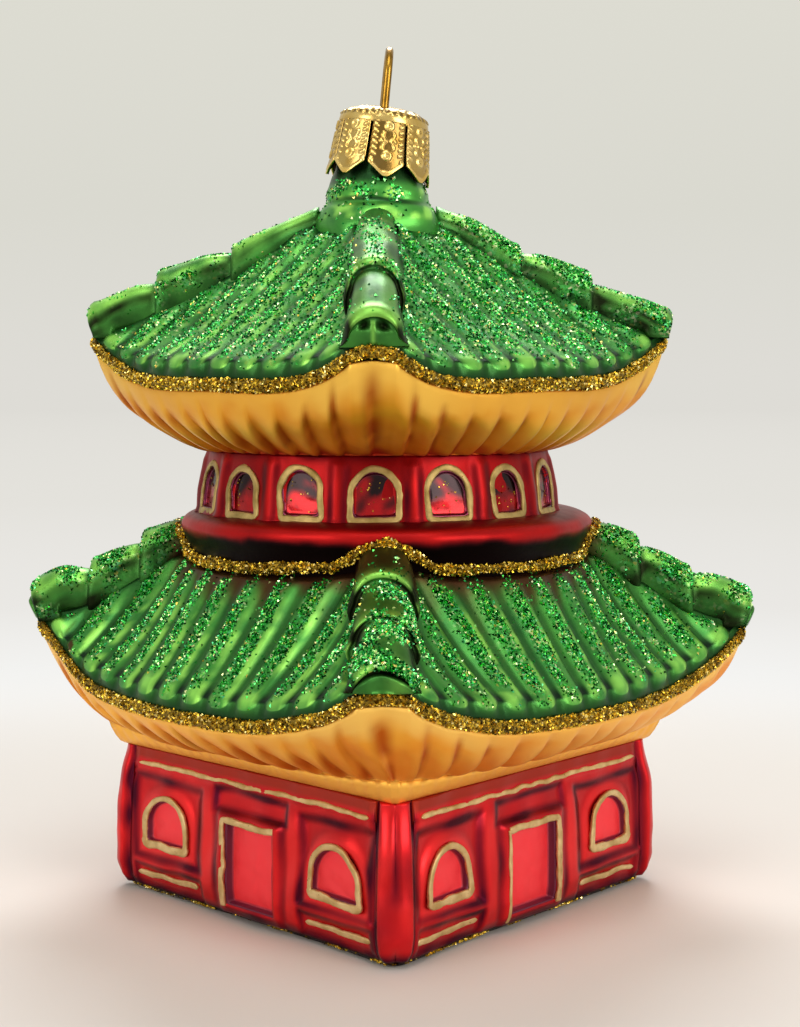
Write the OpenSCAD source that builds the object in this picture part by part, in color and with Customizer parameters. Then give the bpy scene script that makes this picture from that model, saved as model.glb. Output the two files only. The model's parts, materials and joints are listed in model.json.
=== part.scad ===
// Two-tier pagoda ornament of blown, silvered and lacquered glass, with a stamped crown cap
// and a wire hanging loop. It stands on its flat base, walls square to X and Y, door to -Y.
// Lengths are in millimetres and angles in degrees.

/* [Lower storey] */
// Half the width of the square lower storey at its widest
base_half = 26.5; // [26.3:0.1:26.7]
// Height of the lower walls, where the soffit begins
wall_top = 20.3; // [20:0.1:20.6]
// Width of a raised corner post on each face
post_w = 3.6; // [3.2:0.1:4]
// Thickness of the lower walls behind their relief
wall_t = 2.4; // [2.2:0.1:2.6]
// Width of a door pane
door_w = 9.2; // [8:0.1:10]
// Top of a door pane
door_top = 13.1; // [12:0.1:13.6]
// Distance of a window's centre line from the middle of its wall
window_x = 16.2; // [15.6:0.1:16.6]
// Width of a window pane
window_w = 6.5; // [6:0.1:7]
// Width of a painted line
line_w = 1.2; // [0.9:0.1:1.3]

/* [Lower roof] */
// Half the distance between two opposite eaves near their corners
low_eave_half = 36.4; // [36:0.1:36.8]
// Height of the eave line at the middle of a side
low_eave_z = 29.3; // [29:0.1:29.6]
// How far the eave line rises to a corner
low_eave_rise = 6.5; // [6:0.1:7]
// Number of tile ribs on a face, an odd number
low_ribs = 13; // [11:2:13]
// Slope of the hips, height over length
low_hip_slope = 0.465; // [0.455:0.005:0.475]

/* [Upper storey] */
// Radius of the round upper storey at its foot
drum_r = 24.7; // [24.4:0.1:25]
// Height of the foot of the upper storey
drum_z = 53.4; // [53.3:0.1:53.5]
// Number of arched windows round the upper storey
drum_windows = 16; // [12:2:16]

/* [Upper roof] */
// Half the distance between two opposite eaves near their corners
top_eave_half = 29.4; // [29:0.1:29.8]
// Height of the eave line at the middle of a side
top_eave_z = 70.35; // [70:0.05:70.7]
// How far the eave line rises to a corner
top_eave_rise = 5.05; // [4.7:0.05:5.4]
// Number of tile ribs on a face, an odd number
top_ribs = 11; // [9:2:11]
// Slope of the hips, height over length
top_hip_slope = 0.475; // [0.465:0.005:0.485]
// How far the upper tier sits off centre, toward -X and toward -Y
top_shift = 0.8; // [0:0.1:1]

/* [Cap and hanger] */
// Radius of the cap's skirt
cap_r = 6.7; // [6.5:0.1:6.9]
// Thickness of the cap's sheet metal
cap_t = 0.5; // [0.4:0.1:0.6]
// Number of pointed tabs on the cap
cap_tabs = 8; // [6:1:10]
// Lean of the pushed-on cap from upright
cap_lean = 7; // [0:0.5:7]
// Lean of the hanger from upright
hanger_lean = 5.5; // [0:0.5:6]
// Radius of the hanger's wire
wire_r = 0.5; // [0.4:0.05:0.5]
// Top of the hanging loop
loop_top = 116; // [115:0.5:117]

/* [Glass] */
// Thickness of the blown shell at the eaves
shell_t = 1.5; // [1.2:0.1:1.8]

/* [Hidden] */

$fn = 64;
SQRT2 = sqrt(2);
FACES = [0, 1, 2, 3];

RED = "#b5161d";
DARK_RED = "#7d0f1c";
PANE_RED = "#f2303a";
GREEN = "#2f8f3a";
HIP_GREEN = "#3fa648";
SOFFIT_GOLD = "#dda43c";
GLITTER_GOLD = "#8a6a1c";
LINE_GOLD = "#bfa468";
CAP_GOLD = "#d9b04c";

// ---- Four-cornered eaves ----
// A face is drawn with u along it and v outward from the middle of the ornament.
// An eave is [half side, hip half width, bulge, bulge power, z at mid, rise, rise power].
// The place along a face is f, from -1 at one hip to 1 at the next.

hip_half = 3.1;
top_hip_half = 2.8;
low_eave = [low_eave_half, hip_half, 1.9, 4, low_eave_z, low_eave_rise, 3.5];
top_eave = [top_eave_half, top_hip_half, 2.4, 2.4, top_eave_z, top_eave_rise, 3.2];

// Half the glitter band's height, and the plain rim above it at the middle and at a corner
band_half = 1.1;
rim_mid = 1.9;
rim_corner = 0.4;
groove_step = 0.15;

function grown(eave, out) = [
    eave[0] + out, eave[1] + out * tan(22.5), eave[2], eave[3], eave[4], eave[5], eave[6]
];
function eave_end(eave) = eave[0] - eave[1] * SQRT2;
function eave_v(eave, f) = eave[0] + eave[2] * pow(max(0, 1 - f * f), eave[3]);
function eave_z(eave, f) = eave[4] + eave[5] * pow(abs(f), eave[6]);
function eave_uv(eave, f) = [eave_end(eave) * f, eave_v(eave, f)];
function corner_r(eave) = eave[0] * SQRT2 - eave[1];
function rim_top(eave, f) = eave_z(eave, f) + band_half + mix(rim_mid, rim_corner, pow(abs(f), 4));

// A hip's bed sags between its ends. It is [radius of its upper end, slope, sag].
low_top_r = 27.2;
top_top_r = 8.6;
low_bed = [low_top_r, low_hip_slope, 1.7];
top_bed = [top_top_r, top_hip_slope, 2.2];

// Height of a hip's bed at radius r on the diagonal
function bed_z(eave, bed, r) = let (reach = corner_r(eave) - r, t = reach / (corner_r(eave) - bed[0]))
    rim_top(eave, 1) + groove_step + bed[1] * reach - 4 * bed[2] * t * (1 - t);

function on_face(k, p) = [
    p[0] * cos(90 * k) + p[1] * sin(90 * k),
    p[0] * sin(90 * k) - p[1] * cos(90 * k),
    p[2]
];
function mix(a, b, s) = a + (b - a) * s;
function quad(a, b, c, d) = [[a, b, c], [a, c, d]];
function flatten(lists) = [for (l = lists) each l];

// A closed solid from equal sections set round the ornament. Each section's points run
// down its outer side and back up its inner side.
module loop_solid(sections) {
    count = len(sections);
    size = len(sections[0]);
    faces = [
        for (i = [0 : count - 1]) for (j = [0 : size - 1])
            let (i2 = (i + 1) % count, j2 = (j + 1) % size)
            each quad(i * size + j, i2 * size + j, i2 * size + j2, i * size + j2)
    ];
    polyhedron(points = flatten(sections), faces = faces);
}

// ---- Tiled roofs ----
// A roof is a shell with tile ribs square to each eave. Its top edge is a circle, and each
// hip has a bed, level across, that the tall hip tiles stand on.

// Values of u across one face: four steps a rib, and a last one beside each hip
function rib_steps(eave, ribs, pitch) = let (last = eave_end(eave) - 0.6) concat(
    [-last],
    [for (i = [-2 * ribs : 2 * ribs]) i * pitch / 4],
    [last]
);
function rib_round(u, ribs, pitch) = let (d = abs(u / pitch - round(u / pitch)) * 2)
    abs(u) > pitch * ribs / 2 ? 0 : sqrt(max(0, 1 - d * d));

// Where the rib at u leaves the top circle or the edge of a hip's bed
function hip_start(eave, top_r) = (sqrt(top_r * top_r - eave[1] * eave[1]) - eave[1]) / SQRT2;
function rib_top(eave, bed, top_z, u) =
    let (start = hip_start(eave, bed[0]), edge_r = abs(u) * SQRT2 + eave[1])
    abs(u) <= start
        ? [u, sqrt(bed[0] * bed[0] - u * u),
           mix(top_z, bed_z(eave, bed, start * SQRT2 + eave[1]), pow(abs(u) / start, 5))]
        : [u, abs(u) + eave[1] * SQRT2, bed_z(eave, bed, edge_r)];

module tiled_roof(eave, bed, top_z, ribs, pitch, rib_h, sag, rows) {
    set_back = 0.4;
    skin = 2;
    end = eave_end(eave);
    us = rib_steps(eave, ribs, pitch);
    count = len(us);
    low = len(rows) + 2;
    inner = grown(eave, -shell_t);
    full_length = eave_v(eave, 0) - bed[0];

    function outer_column(u) = let (
        f = u / end,
        top = rib_top(eave, bed, top_z, u),
        foot = [u, eave_v(eave, f) - set_back, rim_top(eave, f) + groove_step],
        dip = 4 * sag * (foot[1] - top[1]) / full_length,
        lift = rib_h * rib_round(u, ribs, pitch),
        rim_f = abs(u) == us[count - 1] ? sign(u) : f,
        rim = eave_uv(eave, rim_f)
    ) concat(
        [for (s = rows) [
            u, mix(top[1], foot[1], s), mix(top[2], foot[2], s) - dip * s * (1 - s) + (s > 0 ? lift : 0)
        ]],
        [[rim[0], rim[1], rim_top(eave, rim_f)], [rim[0], rim[1], eave_z(eave, rim_f) - band_half]]
    );
    function inner_column(u) = let (
        top = rib_top(eave, bed, top_z, u),
        f = abs(u) == us[count - 1] ? sign(u) : u / end,
        foot = eave_uv(inner, f)
    ) [[u, top[1], top[2] - skin], [foot[0], foot[1], eave_z(eave, f) - band_half]];

    outside = [for (k = FACES) for (u = us) for (p = outer_column(u)) on_face(k, p)];
    inside = [for (k = FACES) for (u = us) for (p = inner_column(u)) on_face(k, p)];
    function out_at(k, i, j) = ((k % 4) * count + i) * low + j;
    function in_at(k, i, j) = len(outside) + ((k % 4) * count + i) * 2 + j;
    function next_k(k, i) = i == count - 1 ? k + 1 : k;
    function next_i(i) = (i + 1) % count;

    // The last step of each face that still starts from the top circle
    start = hip_start(eave, bed[0]);
    last_round = max([for (i = [0 : count - 1]) if (us[i] <= start) i]);

    skins = [for (k = FACES) for (i = [0 : count - 1]) let (k2 = next_k(k, i), i2 = next_i(i)) each concat(
        [for (j = [0 : low - 2]) each quad(
            out_at(k, i, j), out_at(k2, i2, j), out_at(k2, i2, j + 1), out_at(k, i, j + 1))],
        quad(in_at(k, i, 0), in_at(k, i, 1), in_at(k2, i2, 1), in_at(k2, i2, 0)),
        quad(out_at(k, i, low - 1), out_at(k2, i2, low - 1), in_at(k2, i2, 1), in_at(k, i, 1))
    )];
    beds = [for (k = FACES) for (i = [last_round : count - 2]) let (m = count - 1 - i) each concat(
        quad(out_at(k, i, 0), out_at(k + 1, m, 0), out_at(k + 1, m - 1, 0), out_at(k, i + 1, 0)),
        quad(in_at(k, i + 1, 0), in_at(k + 1, m - 1, 0), in_at(k + 1, m, 0), in_at(k, i, 0))
    )];
    top_edge = [for (k = FACES) each concat(
        [for (i = [count - 1 - last_round : last_round - 1]) each quad(
            out_at(k, i + 1, 0), out_at(k, i, 0), in_at(k, i, 0), in_at(k, i + 1, 0))],
        let (m = count - 1 - last_round) quad(
            out_at(k + 1, m, 0), out_at(k, last_round, 0), in_at(k, last_round, 0), in_at(k + 1, m, 0))
    )];
    polyhedron(points = concat(outside, inside), faces = concat(skins, beds, top_edge));
}

low_top_z = 46.4;
low_pitch = 2 * (eave_end(low_eave) - 1.2) / low_ribs;
top_top_z = 90.6;
top_pitch = 2 * (eave_end(top_eave) - 1.2) / top_ribs;

module lower_roof() {
    color(GREEN) tiled_roof(
        low_eave, low_bed, low_top_z, low_ribs, low_pitch,
        rib_h = 0.9, sag = 0.8, rows = [0, 0.12, 0.55, 1]
    );
}

module upper_roof() {
    color(GREEN) tiled_roof(
        top_eave, top_bed, top_top_z, top_ribs, top_pitch,
        rib_h = 0.8, sag = 1, rows = [0, 0.1, 0.4, 0.7, 1]
    );
}

// ---- Hips ----
// Three overlapping tiles on each hip, each a round ridge on upright skirts that stand on the
// hip's bed. The last one ends in an upright face with two hollows, over the rim's cut corner.
// A tile is [inner r, crest height there, outer r, crest height there].

low_tiles = [[26, 51.9, 35, 50], [34.6, 48.5, 42.1, 46], [41.7, 45, 49.5, 42.5]];
top_tiles = [[8, 94.4, 19.9, 90.8], [19.4, 89, 30.2, 86.1], [29.7, 84.8, 39.9, 81.8]];
ridge_flare = 0.16;
end_t = 1.2;
end_flare = 1;

// Outline of a tile's ridge, from its narrow end to its rolled lip
function ridge_outline(length, narrow, wide) = [
    [0, 0], [narrow, 0], [wide - 0.2, length - 1.4], [wide, length - 0.8],
    [wide - 0.15, length - 0.25], [wide - 0.6, length], [0, length]
];

// The upper half of a cone along the tile's axis, from a to b in r and z
module ridge(a, b, narrow, wide) {
    length = norm(b - a);
    translate([a[0], 0, a[1]]) rotate([0, atan2(a[1] - b[1], b[0] - a[0]), 0]) difference() {
        rotate([0, 90, 0]) rotate_extrude($fn = 48) polygon(ridge_outline(length, narrow, wide));
        translate([-1, -2 * wide, -2 * wide]) cube([length + 2, 4 * wide, 2 * wide]);
    }
}

// Upright sides of a tile, from its axis down to the facets of the bed
module skirts(eave, bed, edges, a, b, half) {
    over = 0.4;
    outer_r = min(b[0] - 0.3, corner_r(eave));
    outer_z = mix(a[1], b[1], (outer_r - a[0]) / (b[0] - a[0]));
    foot = [for (r = edges) if (r > a[0] && r < outer_r) [r, bed_z(eave, bed, r)]];
    first = foot[0];
    last = foot[len(foot) - 1];
    upper_edge = [[outer_r, outer_z + over], [a[0], a[1] + over]];
    inner_foot = [a[0], first[1] + (first[0] - a[0]) * bed[1]];
    outer_foot = [outer_r, last[1] - (outer_r - last[0]) * bed[1] / 2];
    rotate([90, 0, 0]) translate([0, 0, -half]) linear_extrude(2 * half)
        polygon(concat(upper_edge, [inner_foot], foot, [outer_foot]));
}

module hip_end(wide, foot_z, crown_z) {
    arch_z = crown_z - wide;
    spread = wide + end_flare;
    rotate([90, 0, 90]) difference() {
        linear_extrude(end_t) union() {
            polygon([[-spread, foot_z], [spread, foot_z], [wide, arch_z], [-wide, arch_z]]);
            translate([0, arch_z]) circle(wide, $fn = 48);
        }
        for (side = [-1, 1]) translate([side * wide * 0.5, 0, end_t - 0.6]) linear_extrude(1) union() {
            translate([-wide * 0.3, foot_z + 1]) square([wide * 0.6, arch_z - foot_z - 0.9]);
            translate([0, arch_z + 0.1]) circle(wide * 0.3, $fn = 32);
        }
    }
}

module hip(eave, bed, edges, tiles) {
    wide = eave[1] + 0.1;
    narrow = wide * (1 - ridge_flare);
    tip = tiles[len(tiles) - 1];
    color(HIP_GREEN) rotate(-45) {
        for (tile = tiles) let (a = [tile[0], tile[1] - narrow], b = [tile[2], tile[3] - wide]) {
            ridge(a, b, narrow, wide);
            skirts(eave, bed, edges, a, b, narrow - 0.1);
        }
        translate([corner_r(eave), 0, 0])
            hip_end(wide - 0.25, eave_z(eave, 1) + band_half, tip[3] - 0.25);
    }
}

// Radii where the bed's facets meet
function bed_edges(eave, ribs, pitch) = [
    for (u = rib_steps(eave, ribs, pitch)) if (u > 0) u * SQRT2 + eave[1]
];

module lower_hip() {
    difference() {
        hip(low_eave, low_bed, bed_edges(low_eave, low_ribs, low_pitch), low_tiles);
        ledge_body();
    }
}

module upper_hip() {
    difference() {
        hip(top_eave, top_bed, bed_edges(top_eave, top_ribs, top_pitch), top_tiles);
        neck_body();
    }
}

// ---- Soffits ----
// Fluted bowls that carry each storey out to the eave above it. A row is [place along the
// bowl, share of its rise], from the foot at 0 to the eave at 1.

flute_depth = 0.9;

function flute(i) = i % 2 == 0 ? 0 : 1;
function bowl_rise(s, straight, curl) = straight * s + (1 - straight) * pow(s, curl);

module soffit(eave, flutes, rows, straight, curl, feet) {
    inner = grown(eave, -shell_t);
    steps = 2 * flutes;
    function top_at(f) = let (p = eave_uv(eave, f)) [p[0], p[1], eave_z(eave, f) - band_half];
    function section(i) = let (
        f = 2 * i / steps - 1,
        top = top_at(f),
        inner_top = eave_uv(inner, f),
        outer_feet = feet(f),
        foot = outer_feet[0],
        last_foot = outer_feet[len(outer_feet) - 1],
        shrink = 1 - 1.8 / last_foot[1]
    ) concat(
        [for (s = rows) let (rise = bowl_rise(s, straight, curl)) [
            mix(foot[0], top[0], s), mix(foot[1], top[1], s),
            mix(foot[2], top[2], rise) - flute_depth * flute(i) * 4 * s * (1 - s)
        ]],
        outer_feet,
        [[last_foot[0] * shrink, last_foot[1] * shrink, last_foot[2]],
         [inner_top[0], inner_top[1], top[2]]]
    );
    loop_solid([for (k = FACES) for (i = [0 : steps]) [for (p = section(i)) on_face(k, p)]]);
}

// Foot of the lower soffit: a rounded lip over the square wall top
low_lip = [[27.9, 0.6, 22.7, 1], [27.2, 0.6, 21.3, 0.3], [26, 0.3, wall_top, 0]];

module lower_soffit() {
    feet = function (f) [for (l = low_lip) [
        f * (l[0] - l[1] * SQRT2), l[0], l[2] + l[3] * pow(abs(f), 4)
    ]];
    color(SOFFIT_GOLD) soffit(low_eave, low_ribs, [1, 0.85, 0.45], 0.75, 6, feet);
}

drum_top_r = 23.4;
drum_top = 61.4;

module upper_soffit() {
    half_angle = 45 - atan(top_hip_half / corner_r(top_eave));
    feet = function (f) [[
        drum_top_r * sin(f * half_angle), drum_top_r * cos(f * half_angle), drum_top
    ]];
    color(SOFFIT_GOLD) soffit(top_eave, top_ribs, [1, 0.93, 0.7, 0.35], 0.65, 9, feet);
}

// ---- Glitter bands ----
// Outward offset and height of the points of a band's section
BAND = [[0, 1], [0.5, 0.75], [0.7, 0], [0.5, -0.75], [0, -1]];

module eave_band(eave, steps) {
    sections = [for (k = FACES) for (i = [0 : steps]) let (f = 2 * i / steps - 1) [
        for (b = BAND) let (p = eave_uv(grown(eave, b[0]), f))
            on_face(k, [p[0], p[1], eave_z(eave, f) + b[1] * band_half])
    ]];
    color(GLITTER_GOLD) loop_solid(sections);
}

// The garland under the ledge lifts gently toward each corner, then arches over the hip
module ledge_band() {
    steps = 80;
    mid_z = 47;
    lift = 1.4;
    arch_rise = 3;
    arch_angle = 14;
    step_out = 1.6;
    thick = 0.75;
    sections = [for (i = [0 : steps - 1]) let (
        a = 360 * i / steps,
        off = abs(a % 90 - 45),
        arch = off < arch_angle ? (1 + cos(180 * off / arch_angle)) / 2 : 0,
        r = low_top_r + step_out * arch,
        z = mid_z + lift * pow(1 - off / 45, 2) + arch_rise * pow(arch, 0.7)
    ) [for (b = BAND) let (out = r + 1.4 * b[0]) [out * cos(a), out * sin(a), z + thick * b[1]]]];
    color(GLITTER_GOLD) loop_solid(sections);
}

// ---- Lower storey ----
// Each wall is drawn for the -Y side. Its relief, doors and painted lines are let into it.

post_in = base_half - post_w;
wall_in = base_half - wall_t;
base_h = 1;
bay_v = 25.6;
pocket_v = 24.9;
window_foot = 7;
window_h = 7.2;
door_line_w = 1.7;
door_line_top = door_top + line_w + 0.1;

// Section of a wall: a slight belly, drawn in as v, z
function wall_section(out) = [
    [wall_in, base_h], [25.6 + out, base_h], [26.2 + out, 2], [base_half + out, 4],
    [base_half + out, 8], [26.3 + out, 14], [26 + out, wall_top], [wall_in, wall_top]
];

module wall_prism(from_x, to_x, out = 0) {
    translate([from_x, 0, 0]) rotate([90, 0, 90]) linear_extrude(to_x - from_x)
        polygon([for (p = wall_section(out)) [-p[0], p[1]]]);
}

// A flat outline on the wall, drawn as x, z, cut from v outward
module on_wall(from_v, to_v) {
    translate([0, -from_v, 0]) rotate([90, 0, 0]) linear_extrude(to_v - from_v) children();
}

module rounded(w, h, r) {
    union() {
        translate([-w / 2 + r, 0]) square([w - 2 * r, h]);
        translate([-w / 2, r]) square([w, h - 2 * r]);
        for (x = [-1, 1]) for (y = [r, h - r]) translate([x * (w / 2 - r), y]) circle(r, $fn = 32);
    }
}

// A window with a flat sill and a round head
module arch(w, h) {
    union() {
        square_h = h - w / 2;
        translate([-w / 2, 0]) square([w, square_h]);
        translate([0, square_h]) circle(w / 2, $fn = 48);
    }
}

module window_outer() {
    translate([0, window_foot]) arch(window_w + 2 * line_w, window_h);
}

module window_inner() {
    translate([0, window_foot + line_w]) arch(window_w, window_h - 2 * line_w);
}

module door_outer() {
    w = door_w + 2 * door_line_w;
    translate([-w / 2, base_h]) square([w, door_line_top - base_h]);
}

module door_inner() {
    translate([-door_w / 2, base_h]) square([door_w, door_top - base_h]);
}

module lintel_line() {
    translate([0, 17.9]) rounded(2 * post_in - 0.4, line_w, 0.5);
}

module sill_line() {
    translate([0, 2.3]) rounded(12.4, line_w, 0.5);
}

module wall() {
    bay_w = post_in - 9.5;
    bay_x = (post_in + 9.5) / 2;
    color(RED) difference() {
        wall_prism(-post_in, post_in);
        for (side = [-1, 1]) {
            on_wall(bay_v, 30) translate([side * bay_x, 5.3]) rounded(bay_w - 0.6, 10.2, 1.2);
            on_wall(bay_v, 30) translate([side * bay_x, 1.6]) rounded(bay_w - 0.6, 2.7, 0.8);
            on_wall(pocket_v, 30) translate([side * window_x, 0]) window_outer();
            on_wall(pocket_v, 30) translate([side * window_x, 0]) sill_line();
        }
        on_wall(bay_v, 30) translate([0, door_line_top + 0.4]) rounded(door_w, 2.6, 0.8);
        on_wall(pocket_v, 30) door_outer();
        on_wall(pocket_v, 30) lintel_line();
    }
}

module door() {
    color(PANE_RED) on_wall(pocket_v, 25.3) door_inner();
}

module window_pair() {
    color(PANE_RED) for (side = [-1, 1])
        on_wall(pocket_v, 25.2) translate([side * window_x, 0]) window_inner();
}

module gold_lines() {
    color(LINE_GOLD) {
        for (side = [-1, 1]) translate([side * window_x, 0, 0]) {
            on_wall(pocket_v, 26.1) difference() {
                window_outer();
                window_inner();
            }
            on_wall(pocket_v, 26.1) sill_line();
        }
        on_wall(pocket_v, 26.7) difference() {
            door_outer();
            door_inner();
        }
        on_wall(pocket_v, 26.5) lintel_line();
    }
}

// Radius of the rounded corners, as a solid of revolution that trims them
module corner_envelope() {
    rotate_extrude($fn = 96) polygon([
        [0, 0], [34.6, 0], [35.6, base_h], [36.9, 2.6], [37.6, 4.6],
        [37.8, 7], [37.4, 14], [36.8, wall_top], [0, wall_top]
    ]);
}

module corner_post() {
    raised = 0.35;
    color(DARK_RED) difference() {
        intersection() {
            wall_prism(post_in, 30, raised);
            rotate(90) wall_prism(-30, -post_in, raised);
            corner_envelope();
        }
        rotate(-45) translate([37.7, 0, 9]) cylinder(h = 20, r = 0.6);
    }
}

module rounded_square(half, r, h) {
    linear_extrude(h) translate([0, -half]) rounded(2 * half, 2 * half, r);
}

module base_plate() {
    color(DARK_RED) rounded_square(wall_in, 2.6, base_h);
}

module base_glitter() {
    color(GLITTER_GOLD) difference() {
        rounded_square(25.7, 4.2, base_h);
        translate([0, 0, -1]) rounded_square(wall_in, 2.6, base_h + 2);
    }
}

// ---- Upper storey ----

ledge_foot = 44;

module ledge_body() {
    rotate_extrude($fn = 96) polygon([
        [low_top_r - 1.5, ledge_foot], [low_top_r, ledge_foot], [low_top_r, 47.5], [27.6, 49.2],
        [28.1, 50.3], [28.3, 51.1], [28.15, 51.8], [27.7, 52.4], [26.8, 52.9], [25.7, drum_z - 0.1],
        [drum_r, drum_z], [drum_r - 2.4, drum_z], [drum_r - 2.4, 52], [low_top_r - 1.5, 50.6]
    ]);
}

module ledge() {
    color(RED) ledge_body();
}

drum_in = 22.3;
drum_pocket_r = 23.2;
drum_window_w = 4.5;
drum_window_h = 6.8;
drum_window_z = drum_z + 0.1;
drum_line_w = 1;

module drum_window_outer() {
    arch(drum_window_w + 2 * drum_line_w, drum_window_h);
}

module drum_window_inner() {
    translate([0, drum_line_w]) arch(drum_window_w, drum_window_h - 2 * drum_line_w);
}

// Sets a flat outline on each window bay of the drum, one bay facing each corner
module round_drum(from_r, to_r) {
    for (i = [0 : drum_windows - 1]) rotate(45 + 360 * i / drum_windows)
        translate([from_r, 0, drum_window_z]) rotate([90, 0, 90])
            linear_extrude(to_r - from_r) children();
}

module upper_storey() {
    color(DARK_RED) difference() {
        rotate_extrude($fn = 96) polygon([
            [drum_in, drum_z], [drum_r, drum_z], [24.5, 56], [24.1, 58.3], [23.7, 60.2],
            [drum_top_r, drum_top], [drum_in - 0.6, drum_top]
        ]);
        round_drum(drum_pocket_r, 30) drum_window_outer();
    }
}

module upper_window_panes() {
    color(PANE_RED) round_drum(drum_pocket_r, drum_pocket_r + 0.5) drum_window_inner();
}

module upper_window_outlines() {
    color(LINE_GOLD) round_drum(drum_pocket_r, 24.7) difference() {
        drum_window_outer();
        drum_window_inner();
    }
}

// ---- Neck, cap and hanger ----

neck_top = 102.4;
lean_z = 98.5;

module neck_body() {
    rotate_extrude($fn = 96) polygon([
        [top_top_r - 1.4, 88], [top_top_r, 88], [top_top_r, 91.8], [7.9, 93.2], [7.2, 94.8],
        [6.6, 96], [6, 97], [5.9, 98.4], [5.3, 99.6], [5.2, 100.2], [5.2, neck_top],
        [4.7, neck_top], [4.7, 98], [5.6, 94.4]
    ]);
}

module neck() {
    color(GREEN) neck_body();
}

// Leans a piece toward the back right corner, about the neck's shoulder
module leaning(angle) {
    translate([0, 0, lean_z]) rotate(a = -angle, v = [1, -1, 0]) translate([0, 0, -lean_z]) children();
}

cap_foot = 97.9;
cap_top = 108;

function cap_outline(inset) = [
    [0, cap_foot], [cap_r - inset, cap_foot], [cap_r - 0.15 - inset, 100.7],
    [6.3 - inset, 103.7], [6.1 - inset, 105.5], [5.8 - inset, 106.5 - inset / 2],
    [5.2 - inset, 107.1 - inset], [3, 107.7 - inset], [0, cap_top - inset]
];

module cap_blank(inset) {
    rotate_extrude($fn = 96) polygon(cap_outline(inset));
}

// The cap's skirt is slit into tabs, each cut to a point
module tabbed_cap() {
    slit_w = 0.5;
    slit_top = 104.9;
    tab_point = 1.5;
    first_slit = -52.5;
    difference() {
        cap_blank(0);
        cap_blank(cap_t);
        for (i = [0 : cap_tabs - 1]) rotate(first_slit + 360 * i / cap_tabs) {
            translate([3, -slit_w / 2, cap_foot - 1]) cube([6, slit_w, slit_top - cap_foot + 1]);
            translate([3, 0, cap_foot]) rotate([90, 0, 90]) linear_extrude(6)
                polygon([[-2.4, -0.1], [2.4, -0.1], [0.2, tab_point], [-0.2, tab_point]]);
        }
    }
}

module cap() {
    color(CAP_GOLD) difference() {
        leaning(cap_lean) tabbed_cap();
        leaning(hanger_lean) rotate(loop_turn) for (side = [-1, 1])
            translate([side * loop_half, 0, 103]) cylinder(h = 7, r = wire_r + 0.15, $fn = 32);
    }
}

loop_half = 3.75;
loop_turn = -42.5;

// One upright leg of the hanger, from its arc down through the cap into the neck
module hanger_leg(top_z) {
    foot_z = 100.5;
    translate([loop_half, 0, foot_z]) cylinder(h = top_z - foot_z, r = wire_r, $fn = 48);
}

module hanger() {
    arc_z = loop_top - wire_r - loop_half;
    color(CAP_GOLD) leaning(hanger_lean) rotate(loop_turn) union() {
        translate([0, 0, arc_z]) rotate([90, 0, 0])
            rotate_extrude(angle = 180, $fn = 64) translate([loop_half, 0]) circle(wire_r, $fn = 48);
        hanger_leg(arc_z);
        rotate(180) hanger_leg(arc_z);
    }
}

// Turns a piece drawn for the front, or for the front right corner, to side k
module at_side(k) {
    rotate(90 * k) children();
}

// Sets a piece of the upper tier over its own middle
module upper_tier() {
    translate([-top_shift, -top_shift, 0]) children();
}

base_plate();
base_glitter();
at_side(0) wall();  // wall_front
at_side(1) wall();  // wall_right
at_side(2) wall();  // wall_back
at_side(3) wall();  // wall_left
at_side(0) corner_post();  // corner_post_front_right
at_side(1) corner_post();  // corner_post_back_right
at_side(2) corner_post();  // corner_post_back_left
at_side(3) corner_post();  // corner_post_front_left
at_side(0) door();  // door_front
at_side(1) door();  // door_right
at_side(2) door();  // door_back
at_side(3) door();  // door_left
at_side(0) window_pair();  // windows_front
at_side(1) window_pair();  // windows_right
at_side(2) window_pair();  // windows_back
at_side(3) window_pair();  // windows_left
at_side(0) gold_lines();  // gold_lines_front
at_side(1) gold_lines();  // gold_lines_right
at_side(2) gold_lines();  // gold_lines_back
at_side(3) gold_lines();  // gold_lines_left
lower_soffit();
eave_band(low_eave, 18);  // lower_eave_glitter
lower_roof();
at_side(0) lower_hip();  // lower_hip_front_right
at_side(1) lower_hip();  // lower_hip_back_right
at_side(2) lower_hip();  // lower_hip_back_left
at_side(3) lower_hip();  // lower_hip_front_left
ledge();
ledge_band();  // ledge_glitter
upper_tier() upper_storey();
upper_tier() upper_window_panes();
upper_tier() upper_window_outlines();
upper_tier() upper_soffit();
upper_tier() eave_band(top_eave, 16);  // upper_eave_glitter
upper_tier() upper_roof();
upper_tier() at_side(0) upper_hip();  // upper_hip_front_right
upper_tier() at_side(1) upper_hip();  // upper_hip_back_right
upper_tier() at_side(2) upper_hip();  // upper_hip_back_left
upper_tier() at_side(3) upper_hip();  // upper_hip_front_left
upper_tier() neck();
upper_tier() cap();
upper_tier() hanger();
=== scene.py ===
"""Looks of the two-tier pagoda ornament: blown glass, silvered inside and lacquered, with
painted outlines, glitter and a stamped crown cap. Shapes are worked out in millimetres,
in the frame's axes, and become metres when a mesh is made."""
import json
import math

import bpy
import numpy as np
from mathutils import Matrix, Vector

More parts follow.
